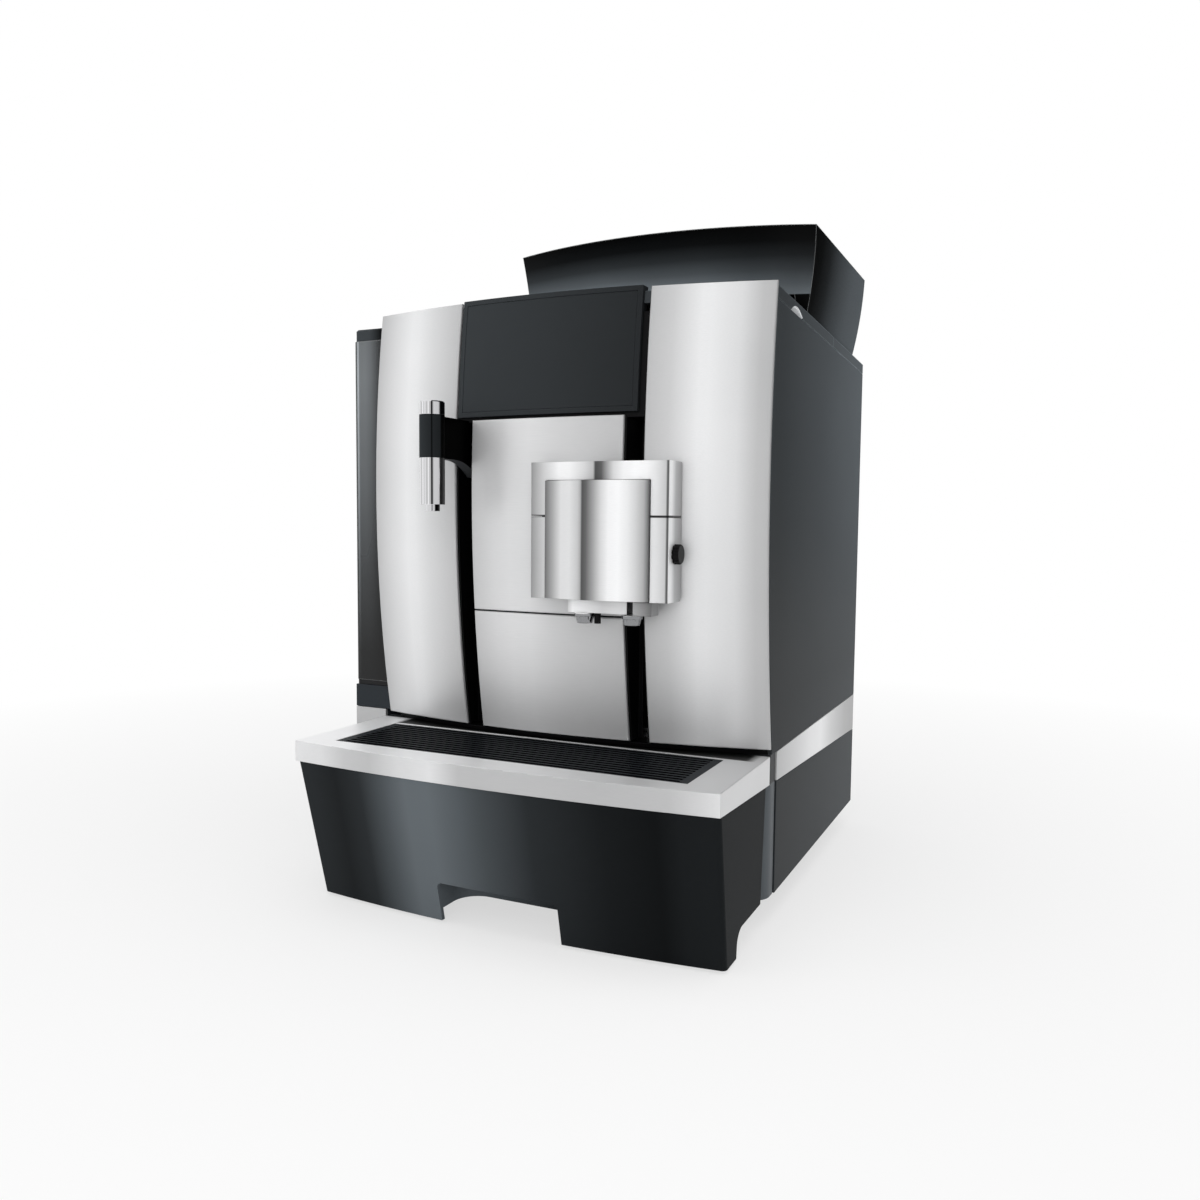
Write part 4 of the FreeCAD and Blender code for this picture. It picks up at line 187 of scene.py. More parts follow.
TUBE_DEPTH = ("Y", -0.1936, -0.1732, TUBE_DEPTH_BANDS)
SLEEVE_SHEEN = ("X", -0.07175, -0.05135, SLEEVE_BANDS)
ARM_DEPTH = ("Y", -0.1936, -0.1732, ARM_BANDS)
SIDE_SHEEN = ("Y", -0.13, 0.2346, SIDE_BANDS)
SIDE_HEIGHT = ("Z", 0.02, 0.50, SIDE_RISE)
DRAWER_SHEEN = ("X", -0.158, 0.186, DRAWER_BANDS)
POST_SHADE = ("Z", 0.116, 0.119, POST_SHADE_LEVELS)
DISPLAY_SHEEN = ("X", -0.068, 0.0965, DISPLAY_BANDS)
HOPPER_FRONT = ("Z", 0.515, 0.568, HOPPER_FRONT_BANDS)
HOPPER_WIDTH = ("X", -0.066, 0.2083, HOPPER_WIDTH_BANDS)
HOPPER_SIDE = ("Y", -0.03, 0.185, HOPPER_SIDE_BANDS)
TANK_HEIGHT = ("Z", 0.15, 0.49, TANK_BANDS)
TANK_WIDTH = ("X", -0.2083, -0.1497, TANK_WIDTH_BANDS)
LID_WIDTH = ("X", -0.2068, -0.1497, LID_BANDS)
NOZZLE_TOP = (0.2522, 0.2528)

# Grain: cycles per metre, and the stretch of brush lines along the metal
FINE = 2600.0
MEDIUM = 700.0
BROAD = 9.0
WIPE = 120.0
FLOW = 14.0
ALONG = 0.012
METAL_SHARE = 0.35
BEVEL_SAMPLES = 6
# Lift of the painted edge highlight
EDGE_LIGHT_LIFT = 0.004


def linear(red, green, blue):
    """A colour as seen on a screen, 0 to 255, as the shader's linear values."""
    values = []
    for level in (red / 255, green / 255, blue / 255):
        values.append(level / 12.92 if level <= 0.04045 else ((level + 0.055) / 1.055) ** 2.4)
    return (*values, 1.0)


def shade_of(colour, factor, lift=0.0):
    return tuple(v * factor + lift for v in colour[:3]) + (1.0,)


def level_ramp(tree, fac, stops):
    """Grey levels at their places along fac."""
    ramp = tree.nodes.new("ShaderNodeValToRGB")
    elements = ramp.color_ramp.elements
    while len(elements) < len(stops):
        elements.new(0.5)
    for element, (position, level) in zip(elements, stops):
        element.position = position
        element.color = (level, level, level, 1.0)
    tree.links.new(fac, ramp.inputs["Fac"])
    return ramp.outputs["Color"]


class Shader:
    """A Principled material that is put together from textures in the object's own space."""

    def __init__(self, name):
        self.material = bpy.data.materials.new(name)
        self.material.use_nodes = True
        self.tree = self.material.node_tree
        self.tree.nodes.clear()
        self.bsdf = self.add("ShaderNodeBsdfPrincipled")
        output = self.add("ShaderNodeOutputMaterial")
        self.link(self.bsdf.outputs["BSDF"], output.inputs["Surface"])
        self.place = self.add("ShaderNodeTexCoord").outputs["Object"]

    def add(self, kind):
        return self.tree.nodes.new(kind)

    def link(self, source, target):
        self.tree.links.new(source, target)

    def fix(self, **values):
        for name, value in values.items():
            self.bsdf.inputs[name.replace("_", " ").title().replace("Ior", "IOR")].default_value = value

    def tone(self):
        """The colour that the material has so far."""
        return self.bsdf.inputs["Base Color"].links[0].from_socket

    def paint(self, colour):
        self.link(colour, self.bsdf.inputs["Base Color"])

    def roughen(self, rough):
        self.link(rough, self.bsdf.inputs["Roughness"])

    def noise(self, scale, stretch=(1, 1, 1), detail=3.0):
        mapping = self.add("ShaderNodeMapping")
        mapping.inputs["Scale"].default_value = stretch
        texture = self.add("ShaderNodeTexNoise")
        texture.inputs["Scale"].default_value = scale
        texture.inputs["Detail"].default_value = detail
        self.link(self.place, mapping.inputs["Vector"])
        self.link(mapping.outputs["Vector"], texture.inputs["Vector"])
        return texture.outputs["Fac"]

    def between(self, fac, low, high, start=0.3, end=0.7):
        span = self.add("ShaderNodeMapRange")
        span.inputs["From Min"].default_value = start
        span.inputs["From Max"].default_value = end
        span.inputs["To Min"].default_value = low
        span.inputs["To Max"].default_value = high
        self.link(fac, span.inputs["Value"])
        return span.outputs["Result"]

    def mix(self, fac, first, second):
        """Colours or colour outputs, mixed by fac."""
        blend = self.add("ShaderNodeMix")
        blend.data_type = "RGBA"
        self.link(fac, blend.inputs["Factor"])
        for value, socket in ((first, blend.inputs[6]), (second, blend.inputs[7])):
            if isinstance(value, tuple):
                socket.default_value = value
            else:
                self.link(value, socket)
        return blend.outputs[2]

    def rounded(self, radius):
        """Normals that round off the edges."""
        bevel = self.add("ShaderNodeBevel")
        bevel.samples = BEVEL_SAMPLES
        bevel.inputs["Radius"].default_value = radius
        return bevel.outputs["Normal"]

    def edges(self, radius):
        """Rounded normals, and a mask that is 1 on the rounded edges."""
        normal = self.rounded(radius)
        plain = self.add("ShaderNodeNewGeometry").outputs["Normal"]
        dot = self.add("ShaderNodeVectorMath")
        dot.operation = "DOT_PRODUCT"
        self.link(normal, dot.inputs[0])
        self.link(plain, dot.inputs[1])
        return normal, self.between(dot.outputs["Value"], 1.0, 0.0, 0.80, 0.97)

    def along(self, vector, axis):
        parts = self.add("ShaderNodeSeparateXYZ")
        self.link(vector, parts.inputs["Vector"])
        return parts.outputs[axis]

    def bands(self, axis, start, end, stops):
        """Grey levels in smooth steps across the object, from start to end along one axis in metres."""
        share = self.between(self.along(self.place, axis), 0.0, 1.0, start, end)
        return level_ramp(self.tree, share, stops)

    def facing(self, axis, start, end):
        """A mask by the way a face looks: 0 at start, 1 at end."""
        normal = self.add("ShaderNodeNewGeometry").outputs["Normal"]
        return self.between(self.along(normal, axis), 0.0, 1.0, start, end)

    def times(self, first, second):
        product = self.add("ShaderNodeMix")
        product.data_type = "RGBA"
        product.blend_type = "MULTIPLY"
        product.inputs["Factor"].default_value = 1.0
        self.link(first, product.inputs[6])
        self.link(second, product.inputs[7])
        return product.outputs[2]

    def relief(self, height, depth, normal):
        bump = self.add("ShaderNodeBump")
        bump.inputs["Strength"].default_value = 1.0
        bump.inputs["Distance"].default_value = depth
        self.link(height, bump.inputs["Height"])
        self.link(normal, bump.inputs["Normal"])
        self.link(bump.outputs["Normal"], self.bsdf.inputs["Normal"])


STEEL = linear(244, 245, 246)
PALE_STEEL = linear(254, 254, 255)
INK = (0.88, 1.0, 1.09, 1.0)
PALE_INK = (0.935, 1.06, 1.16, 1.0)
# Painted light on the underside of the hot-water arm
ARM_UNDERLIGHT = (0.045, 0.047, 0.050, 1.0)
# Painted highlight on the hopper's edges
HOPPER_RIM_HIGHLIGHT = (0.30, 0.31, 0.31, 1.0)
# Painted highlight on the tank's edges
TANK_RIM_HIGHLIGHT = (0.55, 0.56, 0.57, 1.0)
# Painted shade at the back of the tray rim
CHANNEL_SHADE = (0.002, 0.002, 0.002, 1.0)
BRUSHED_ROUGH = 0.40
BRUSH_ALONG = (1.0, 0.35, 0.0)


def plastic(name, colour, lighter, rough, grain, depth, specular,
            edge=0.0006, bands=None, rise=None, edge_light_gain=1.9):
    """Moulded plastic: fine grain, slow drift of shade, paler edges that are a painted edge highlight, and
    painted light and shade in bands where bands or rise are given.
    """
    shader = Shader(name)
    normal, rim = shader.edges(edge)
    drift = shader.between(shader.noise(BROAD), 0.0, 1.0)
    speck = shader.noise(grain)
    shade = shader.mix(drift, colour, lighter)
    # Paler edges: a painted edge highlight
    edge_lit_tone = shader.mix(rim, shade, shade_of(lighter, edge_light_gain, EDGE_LIGHT_LIFT))
    # Painted light and shade in bands along the object
    if bands:
        edge_lit_tone = shader.times(edge_lit_tone, shader.bands(*bands))
    if rise:
        edge_lit_tone = shader.times(edge_lit_tone, shader.bands(*rise))
    shader.paint(edge_lit_tone)
    shader.roughen(shader.between(speck, rough - 0.06, rough + 0.06))
    shader.relief(speck, depth, normal)
    shader.fix(specular_ior_level=specular)
    return shader


def arm_plastic():
    """Black hot-water arm: painted sheen round the sleeve, painted shade behind it, painted light underneath.
    """
    shader = plastic("arm_plastic", INK, PALE_INK, 0.45, FINE, 0.00001, 0.01, bands=SLEEVE_SHEEN)
    # Painted shade behind the sleeve, and painted light on the underside
    deep = shader.times(shader.tone(), shader.bands(*ARM_DEPTH))
    under = shader.facing("Z", -0.3, -0.9)
    shader.paint(shader.mix(under, deep, ARM_UNDERLIGHT))
    return shader


def grid_plastic():
    """Black grille whose rib tops are paler than the gaps: a painted highlight."""
    shader = plastic("grid_plastic", linear(2, 2, 3), linear(4, 4, 5), 0.40, FINE, 0.00001, 0.02)
    # Painted highlight on the faces that look up
    tops = shader.facing("Z", 0.6, 0.9)
    shader.paint(shader.mix(tops, shader.tone(), linear(36, 39, 42)))
    return shader


def hopper_plastic():
    """Glossy smoke plastic with painted reflection and painted shade: the front darkens upwards and towards
    the right, the sides and the back lighten to the rear, and the edges carry a painted highlight.
    """
    shader = Shader("hopper_shell")
    normal, rim = shader.edges(0.0012)
    front = shader.facing("Y", -0.4, -0.8)
    upwards = shader.times(shader.bands(*HOPPER_FRONT), shader.bands(*HOPPER_WIDTH))
    rearwards = shader.bands(*HOPPER_SIDE)
    shade = shader.mix(front, rearwards, upwards)
    cloud = shader.mix(shader.between(shader.noise(BROAD), 0.0, 1.0), INK, PALE_INK)
    toned = shader.times(shade, cloud)
    # Paler edges: a painted edge highlight
    shader.paint(shader.mix(rim, toned, HOPPER_RIM_HIGHLIGHT))
    speck = shader.noise(MEDIUM)
    shader.roughen(shader.between(speck, 0.34, 0.42))
    shader.relief(speck, 0.000001, normal)
    shader.fix(specular_ior_level=0.05)
    return shader


def brushed(name, bands, flank=None, top=None):
    """Metal with level brush lines, a painted highlight on its edges, and painted sheen in bands across it,
    on its right flank and on top.
    """
    shader = Shader(name)
    normal, rim = shader.edges(0.0006)
    lines = shader.noise(FINE, (ALONG, 1.0, 1.0), 2.0)
    drift = shader.between(shader.noise(BROAD), 0.0, 1.0)
    streak = shader.mix(shader.between(lines, 0.0, 1.0), STEEL, PALE_STEEL)
    cloud = shader.mix(drift, shade_of(STEEL, 0.97), PALE_STEEL)
    blend = shader.add("ShaderNodeMix")
    blend.data_type = "RGBA"
    blend.inputs["Factor"].default_value = 0.5
    shader.link(streak, blend.inputs[6])
    shader.link(cloud, blend.inputs[7])
    # Paler edges: a painted edge highlight
    bright = shader.mix(rim, blend.outputs[2], tuple(min(1.0, v) for v in shade_of(PALE_STEEL, 1.08)))
    # Painted sheen and reflections in bands across the metal, on its right flank and on top
    sheen = shader.bands(*bands)
    if flank:
        sheen = shader.mix(shader.facing("X", 0.6, 0.9), sheen, shader.bands(*flank))
    if top:
        sheen = shader.mix(shader.facing("Z", 0.6, 0.9), sheen, shader.bands(*top))
    shader.paint(shader.times(bright, sheen))
    shader.roughen(shader.between(lines, BRUSHED_ROUGH - 0.05, BRUSHED_ROUGH + 0.05))
    shader.relief(lines, 0.000006, normal)
    shader.fix(metallic=METAL_SHARE, anisotropic=0.4)
    across = shader.add("ShaderNodeVectorMath")
    across.operation = "CROSS_PRODUCT"
    across.inputs[1].default_value = BRUSH_ALONG
    shader.link(shader.add("ShaderNodeNewGeometry").outputs["Normal"], across.inputs[0])
    shader.link(across.outputs["Vector"], shader.bsdf.inputs["Tangent"])
    return shader


def housing_steel():
    """Brushed spout housing with painted reflection bands and painted shade along the seam between its
    halves.
    """
    shader = brushed("brushed_housing", HOUSING_SHEEN, HOUSING_FLANK)
    # Painted shade along the seam
    shader.paint(shader.times(shader.tone(), shader.bands(*PAINTED_SEAM_SHADE)))
    return shader


def rim_steel():
    """Brushed tray rim with painted sheen bands and a near-black strip of painted shade along its back."""
    shader = brushed("brushed_rim", RIM_SHEEN, top=RIM_TOP)
    channel = shader.times(shader.bands(*RIM_CHANNEL), shader.bands(*RIM_CHANNEL_ENDS))
    shader.paint(shader.mix(channel, shader.tone(), CHANNEL_SHADE))
    return shader


def head_steel():
    """Brushed outlet heads with painted sheen bands, painted shade on their right-facing ends, and polished
    fluted nozzles under them.
    """
    shader = brushed("brushed_heads", HEAD_SHEEN, HEAD_FLANK)
    nozzle = shader.between(shader.along(shader.place, "Z"), 1.0, 0.0, *NOZZLE_TOP)
    shader.paint(shader.mix(nozzle, shader.tone(), linear(140, 141, 143)))
    shader.link(shader.between(nozzle, METAL_SHARE, 1.0, 0.0, 1.0), shader.bsdf.inputs["Metallic"])
    shader.roughen(shader.between(nozzle, BRUSHED_ROUGH, 0.08, 0.0, 1.0))
    return shader


def polished(name, colour, rough, *bands):
    """Polished metal with faint wipe marks, and painted reflection and shade bands where bands are given."""
    shader = Shader(name)
    normal = shader.rounded(0.0005)
    wipe = shader.noise(WIPE, (1, 1, 0.15))
    tone = shader.mix(wipe, shade_of(colour, 0.96), colour)
    # Painted reflection and shade bands
    for band in bands:
        tone = shader.times(tone, shader.bands(*band))
    shader.paint(tone)
    shader.roughen(shader.between(wipe, rough, rough + 0.05))
    shader.relief(wipe, 0.000004, normal)
    shader.fix(metallic=1.0)
    return shader


def tinted(name, colour, lighter, rough, transmission, bands, width):
    """See-through smoke-tinted plastic with soft streaks of flow, painted light and shade in bands across its
    height and width, and a painted highlight on its edges.
    """
    shader = Shader(name)
    normal, rim = shader.edges(0.0012)
    flow = shader.noise(FLOW, (1, 1, 0.25))
    shade = shader.mix(shader.between(flow, 0.0, 1.0), colour, lighter)
    # Painted light and shade in bands across the tank's height and width
    shade = shader.times(shader.times(shade, shader.bands(*bands)), shader.bands(*width))
    # Paler edges: a painted edge highlight
    shader.paint(shader.mix(rim, shade, TANK_RIM_HIGHLIGHT))
    shader.roughen(shader.between(flow, rough - 0.03, rough + 0.03))
    shader.relief(shader.noise(MEDIUM), 0.000002, normal)
    shader.fix(transmission_weight=transmission, ior=1.5, specular_ior_level=0.15)
    return shader


def cast(name, colour, lighter, rough):
    """Cast or plated metal of the inner pieces."""
    shader = Shader(name)
    normal = shader.rounded(0.0008)
    grain = shader.noise(MEDIUM)
    shader.paint(shader.mix(shader.between(grain, 0.0, 1.0), colour, lighter))
    shader.roughen(shader.between(grain, rough - 0.1, rough + 0.1))
    shader.relief(grain, 0.00003, normal)
    shader.fix(metallic=1.0)
    return shader


HOUSING_FINISH = housing_steel()
FINISHES = {
    # Centre panel: painted sheen bands
    "front_aluminium": brushed("brushed_centre", CENTRE_SHEEN),
    # Tray rim: painted sheen bands and painted shade along its back
    "rim_aluminium": rim_steel(),
    # Outlet heads: painted sheen bands and painted shade on their right-facing ends
    "spout_steel": head_steel(),
    "chrome": polished("polished_chrome", linear(236, 236, 238), 0.04),
    # Slate panels: painted light, lighter towards the rear and the top, and a strong painted edge highlight
    "slate_panel": plastic("slate_plastic", INK, PALE_INK, 0.55, FINE, 0.00004, 0.12, 0.0011,
                           SIDE_SHEEN, SIDE_HEIGHT, 3.2),
    # Drawer front: a painted highlight in a broad band left of its middle
    "drawer_plastic": plastic("drawer_plastic", INK, PALE_INK, 0.45, FINE, 0.00001, 0.02, bands=DRAWER_SHEEN),
    # Bay frame: painted shade above the foot of its posts
    "bay_grey": plastic("bay_plastic", linear(74, 79, 83), linear(84, 89, 93), 0.45, FINE, 0.00002, 0.2,
                        bands=POST_SHADE),
    "black_plastic": plastic("black_plastic", linear(6, 6, 7), linear(9, 9, 10), 0.36, FINE, 0.00001, 0.10),
    # Display: painted reflection, lighter at its left
    "display_black": plastic("display_plastic", INK, PALE_INK, 0.45, FINE, 0.000008, 0.10,
                             bands=DISPLAY_SHEEN),
    "hopper_black": plastic("hopper_plastic", linear(12, 13, 14), linear(16, 17, 18), 0.16,
                            MEDIUM, 0.000004, 0.5),
    # Tank: painted light and shade in bands, and a painted edge highlight
    "tank_smoke": tinted("tank_plastic", linear(203, 210, 215), linear(216, 223, 228), 0.12, 0.45,
                         TANK_HEIGHT, TANK_WIDTH),
    "rubber": plastic("foot_rubber", linear(24, 24, 25), linear(32, 32, 33), 0.75, MEDIUM, 0.0001, 0.3),
    "sheet_steel": cast("plated_steel", linear(176, 178, 180), linear(196, 198, 199), 0.35),
    "motor_casing": cast("cast_metal", linear(140, 142, 144), linear(160, 162, 164), 0.5),
    "piston_plastic": plastic("piston_plastic", linear(176, 168, 152), linear(188, 180, 164), 0.5,
                              FINE, 0.00002, 0.4),
    "pipe_silicone": plastic("pipe_silicone", linear(196, 198, 198), linear(210, 212, 212), 0.4,
                             FINE, 0.00001, 0.4),
    "board_green": plastic("board_mask", linear(28, 84, 52), linear(34, 96, 60), 0.35, FINE, 0.00002, 0.5),
}

NODE_FINISHES = {
    # Spout housing and cover: painted reflection bands
    "spout_housing_upper": HOUSING_FINISH,
    "spout_housing_lower": HOUSING_FINISH,
    "spout_cover": brushed("brushed_cover", COVER_SHEEN),
    # Left and right panels and the trim: painted sheen bands
    "front_panel_left": brushed("brushed_left", LEFT_SHEEN),
    "front_panel_right": brushed("brushed_right", RIGHT_SHEEN),
    "trim_bands": brushed("brushed_trim", TRIM_SHEEN),
    "hopper": hopper_plastic(),
    "hot_water_arm": arm_plastic(),
    # Hot-water tube: painted reflection stripes, and painted shade on its back
    "hot_water_tube": polished("tube_chrome", linear(240, 240, 242), 0.05, TUBE_SHEEN, TUBE_DEPTH),
    "drip_grid": grid_plastic(),
    # Tank lid: painted shade, darker towards the right
    "tank_lid": plastic("lid_plastic", INK, PALE_INK, 0.45, FINE, 0.00001, 0.05, bands=LID_WIDTH),
    "tank_seat": plastic("seat_plastic", linear(46, 50, 54), linear(50, 54, 58), 0.45, FINE, 0.00001, 0.05),
}

for entry in frame["record"]["subparts"]:
    piece = nodes[entry["node"]]
    finish = NODE_FINISHES.get(entry["node"], FINISHES[entry["material_slot"]]).material
    if not piece.material_slots:
        piece.data.materials.append(finish)
    for place in piece.material_slots:
        place.material = finish


# Small fittings: screws, contact blades, switch marks, a pale sheet in the finger scoop that is a painted
# highlight, and the tank's gasket
SCREW_STEEL = polished("screw_steel", linear(150, 152, 154), 0.22)
TURNS = 36
SCREW_R = 0.0033
SCREW_H = 0.0016
SCREW_FLAT = 0.64
SCREW_EDGE = 0.35
SCREW_STEPS = 6
SCREW_STEP_DEG = 18
SCREW_TURN_DEG = 37
KEY_R = 0.0013
KEY_DEPTH = 0.0009
KEY_LOBES = 6
KEY_LOBE = 0.16
KEY_DRAFT = 0.94

# Places of the screws on the rear, the fan, the inlet and the base
REAR_Y = 0.2326
REAR_SCREW_X = (-0.196, -0.062, 0.062, 0.186)
REAR_SCREW_Z = (0.034, 0.474)
REAR_SIDE_X = (-0.196, 0.186)
REAR_SIDE_Z = (0.18, 0.33)
FAN_X = 0.12375
FAN_Z = 0.4
FAN_SCREWS = (-0.0358, 0.0358)
FAN_SCREW_SCALE = 0.8
INLET_X = -0.11125
INLET_Y = 0.2323
INLET_Z = 0.068
INLET_SCREWS = (-0.0195, 0.0195)
INLET_SCREW_SCALE = 0.75
BASE_Z = 0.024
BASE_SCREW_X = (-0.195, 0.186)
BASE_SCREW_Y = (-0.07, 0.075, 0.22)

# Contact blades: half sizes, chamfer, and how far each row lies to the rear
BLADE_HALF_X = 0.00105
BLADE_HALF_Z = 0.00205
BLADE_CHAMFER = 0.0007
BLADE_SIDE_CHAMFER = 0.8
BLADE_ROOT_Y = 0.2150
BLADE_NECK_Y = 0.2287
BLADE_TIP_Y = 0.22935
BLADES = (("left", -0.006, -0.0015), ("middle", 0.0, 0.0015), ("right", 0.006, -0.0015))

# Switch marks on the rocker
ROCKER_X = -0.07625
ROCKER_FACE_Y = 0.2312
ROCKER_Z = 0.068
MARK_SINK = 0.0011
MARK_RISE = 0.005
MARK_TILT_DEG = 12.4
MARK_DEPTH = 0.00009
MARK_SUNK = 0.00003
RING_R = 0.0021
RING_HOLE_R = 0.0014
BAR_HALF_W = 0.0004
BAR_HALF_L = 0.0021

# Gasket round the tank's foot
GASKET_X0 = -0.2077
GASKET_X1 = -0.1503
GASKET_Y0 = -0.0958
GASKET_Y1 = 0.1855
GASKET_Z0 = 0.1685
GASKET_Z1 = 0.17285
GASKET_T = 0.0032
GASKET_R = 0.0034
GASKET_MIN_R = 0.0002
GASKET_STEPS = 6

# Finger scoop: its sphere, its rim on the panel's face and its sloping foot
SCOOP_CENTRE = Vector((0.22692, -0.0474, 0.46579))
SCOOP_R = 0.04385
SCOOP_FACE_R = 0.0335
SCOOP_FOOT = 0.0277
SCOOP_FALL = 0.0336
SCOOP_REACH_DEG = 33.8
SCOOP_COLUMNS = 28
SCOOP_ROWS = 6
SCOOP_SKIN = 0.0001

TO_REAR = Matrix.Rotation(math.radians(-90), 4, "X")
DOWNWARDS = Matrix.Rotation(math.radians(180), 4, "X")


def add_piece(name, points, faces, body, shader, smooth=False):
    mesh = bpy.data.meshes.new(name)
    mesh.from_pydata(points, [], faces)
    mesh.polygons.foreach_set("use_smooth", [smooth] * len(faces))
    mesh.materials.append(shader.material)
    obj = bpy.data.objects.new(name, mesh)
    bpy.context.scene.collection.objects.link(obj)
    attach(obj, body)
    return obj


def loop_faces(rows, count, closed):
    """Quads between loops of count points each. A closed form joins the last loop to the first."""
    faces = []
    for row in range(rows if closed else rows - 1):
        start, following = row * count, (row + 1) % rows * count
        for step in range(count):
            ahead = (step + 1) % count
            faces.append((start + step, start + ahead, following + ahead, following + step))
    return faces


def circle(radius, height):
    angles = [2 * math.pi * step / TURNS for step in range(TURNS)]
    return [Vector((radius * math.cos(angle), radius * math.sin(angle), height)) for angle in angles]


def ringed(rows, tip):
    """Points and faces of a turned form: rows of radii with heights, closed by a point at each end."""
    points = []
    for radii, height in rows:
        for step, radius in enumerate(radii):
            angle = 2 * math.pi * step / TURNS
            points.append(Vector((radius * math.cos(angle), radius * math.sin(angle), height)))
    faces = loop_faces(len(rows), TURNS, False)
    last = (len(rows) - 1) * TURNS
    points += [Vector((0, 0, tip)), Vector((0, 0, rows[0][1]))]
    for step in range(TURNS):
        ahead = (step + 1) % TURNS
        faces.append((last + step, last + ahead, len(points) - 2))
        faces.append((ahead, step, len(points) - 1))
    return points, faces


def screw_form():
    """A pan head with a six-lobed recess, its seat at the origin and its axis along +Z."""
    rows = [([SCREW_R] * TURNS, 0.0)]
    for step in range(SCREW_STEPS):
        angle = math.radians(SCREW_STEP_DEG * step)
        radius = SCREW_R * (SCREW_FLAT + (1 - SCREW_FLAT) * math.cos(angle))
        rows.append(([radius] * TURNS, SCREW_H * (SCREW_EDGE + (1 - SCREW_EDGE) * math.sin(angle))))
    waves = [math.cos(2 * KEY_LOBES * math.pi * step / TURNS) for step in range(TURNS)]
    lobed = [KEY_R * (1 + KEY_LOBE * wave) for wave in waves]
    rows.append((lobed, SCREW_H))
    rows.append(([radius * KEY_DRAFT for radius in lobed], SCREW_H - KEY_DEPTH))
    return ringed(rows, SCREW_H - KEY_DEPTH)


def screws(name, places, facing, scale=1.0):
    """One piece of several screws, each turned a little further than the one before."""
    points, faces = [], []
    form_points, form_faces = screw_form()
    for count, place in enumerate(places):
        turn = Matrix.Rotation(math.radians(SCREW_TURN_DEG * count), 4, "Z")
        move = Matrix.Translation(place) @ facing @ turn @ Matrix.Scale(scale, 4)
        faces += [tuple(i + len(points) for i in face) for face in form_faces]
        points += [move @ point for point in form_points]
    add_piece(name, points, faces, "chassis", SCREW_STEEL)


def prism(outline, depth):
    """Points and faces of an outline in the XY plane, raised by depth."""
    count = len(outline)
    points = [Vector((x, y, 0.0)) for x, y in outline] + [Vector((x, y, depth)) for x, y in outline]
    faces = [tuple(reversed(range(count))), tuple(range(count, count * 2))]
    for step in range(count):
        ahead = (step + 1) % count
        faces.append((step, ahead, count + ahead, count + step))
    return points, faces


def blade(name, x, z):
    """A plated contact blade with a chamfered tip, a skin round the moulded one."""
    points = []
    for y, inset in ((BLADE_ROOT_Y, 0.0), (BLADE_NECK_Y, 0.0), (BLADE_TIP_Y, BLADE_CHAMFER)):
        half_x = BLADE_HALF_X - inset * BLADE_SIDE_CHAMFER
        half_z = BLADE_HALF_Z - inset
        for side_x, side_z in ((-1, -1), (1, -1), (1, 1), (-1, 1)):
            points.append(Vector((x + side_x * half_x, y, z + side_z * half_z)))
    faces = [(0, 1, 2, 3), (11, 10, 9, 8)]
    for row in (0, 4):
        for step in range(4):
            ahead = (step + 1) % 4
            faces.append((row + ahead, row + step, row + 4 + step, row + 4 + ahead))
    add_piece(name, points, faces, "chassis", FINISHES["chrome"])


def switch_mark(name, points, faces, up):
    """A raised mark on the upper or lower half of the dished rocker."""
    tilt = Matrix.Rotation(math.radians(-90 - up * MARK_TILT_DEG), 4, "X")
    move = Matrix.Translation((ROCKER_X, ROCKER_FACE_Y - MARK_SINK, ROCKER_Z + up * MARK_RISE)) @ tilt
    white = plastic(name + "_white", linear(214, 215, 216), linear(224, 225, 226), 0.5, FINE, 0.00001, 0.3)
    add_piece(name, [move @ point for point in points], faces, "rocker", white)


def off_ring():
    top = MARK_DEPTH - MARK_SUNK
    section = ((RING_R, -MARK_SUNK), (RING_R, top), (RING_HOLE_R, top), (RING_HOLE_R, -MARK_SUNK))
    loops = [circle(radius, height) for radius, height in section]
    return [point for loop in loops for point in loop], loop_faces(len(loops), TURNS, True)


def on_bar():
    sides = ((-1, -1), (1, -1), (1, 1), (-1, 1))
    corners = [(x * BAR_HALF_W, y * BAR_HALF_L) for x, y in sides]
    points, faces = prism(corners, MARK_DEPTH)
    return [point - Vector((0, 0, MARK_SUNK)) for point in points], faces


def gasket_loop(inset, z):
    """A rectangle with round corners, drawn in by inset."""
    radius = max(GASKET_R - inset, GASKET_MIN_R)
    loop = []
    corners = ((GASKET_X1, GASKET_Y1), (GASKET_X0, GASKET_Y1), (GASKET_X0, GASKET_Y0), (GASKET_X1, GASKET_Y0))
    for turn, (x, y) in enumerate(corners):
        centre_x = x - math.copysign(inset + radius, x - (GASKET_X0 + GASKET_X1) / 2)
        centre_y = y - math.copysign(inset + radius, y - (GASKET_Y0 + GASKET_Y1) / 2)
        for step in range(GASKET_STEPS + 1):
            angle = math.radians(90 * turn + 90 * step / GASKET_STEPS)
            loop.append(Vector((centre_x + radius * math.cos(angle), centre_y + radius * math.sin(angle), z)))
    return loop


def tank_gasket():
    """A dark gasket round the foot of the tank."""
    sides = ((0.0, GASKET_Z0), (0.0, GASKET_Z1), (GASKET_T, GASKET_Z1), (GASKET_T, GASKET_Z0))
    loops = [gasket_loop(inset, z) for inset, z in sides]
    faces = loop_faces(len(loops), len(loops[0]), True)
    points = [point for loop in loops for point in loop]
    add_piece("tank_gasket", points, faces, "tank", FINISHES["rubber"])


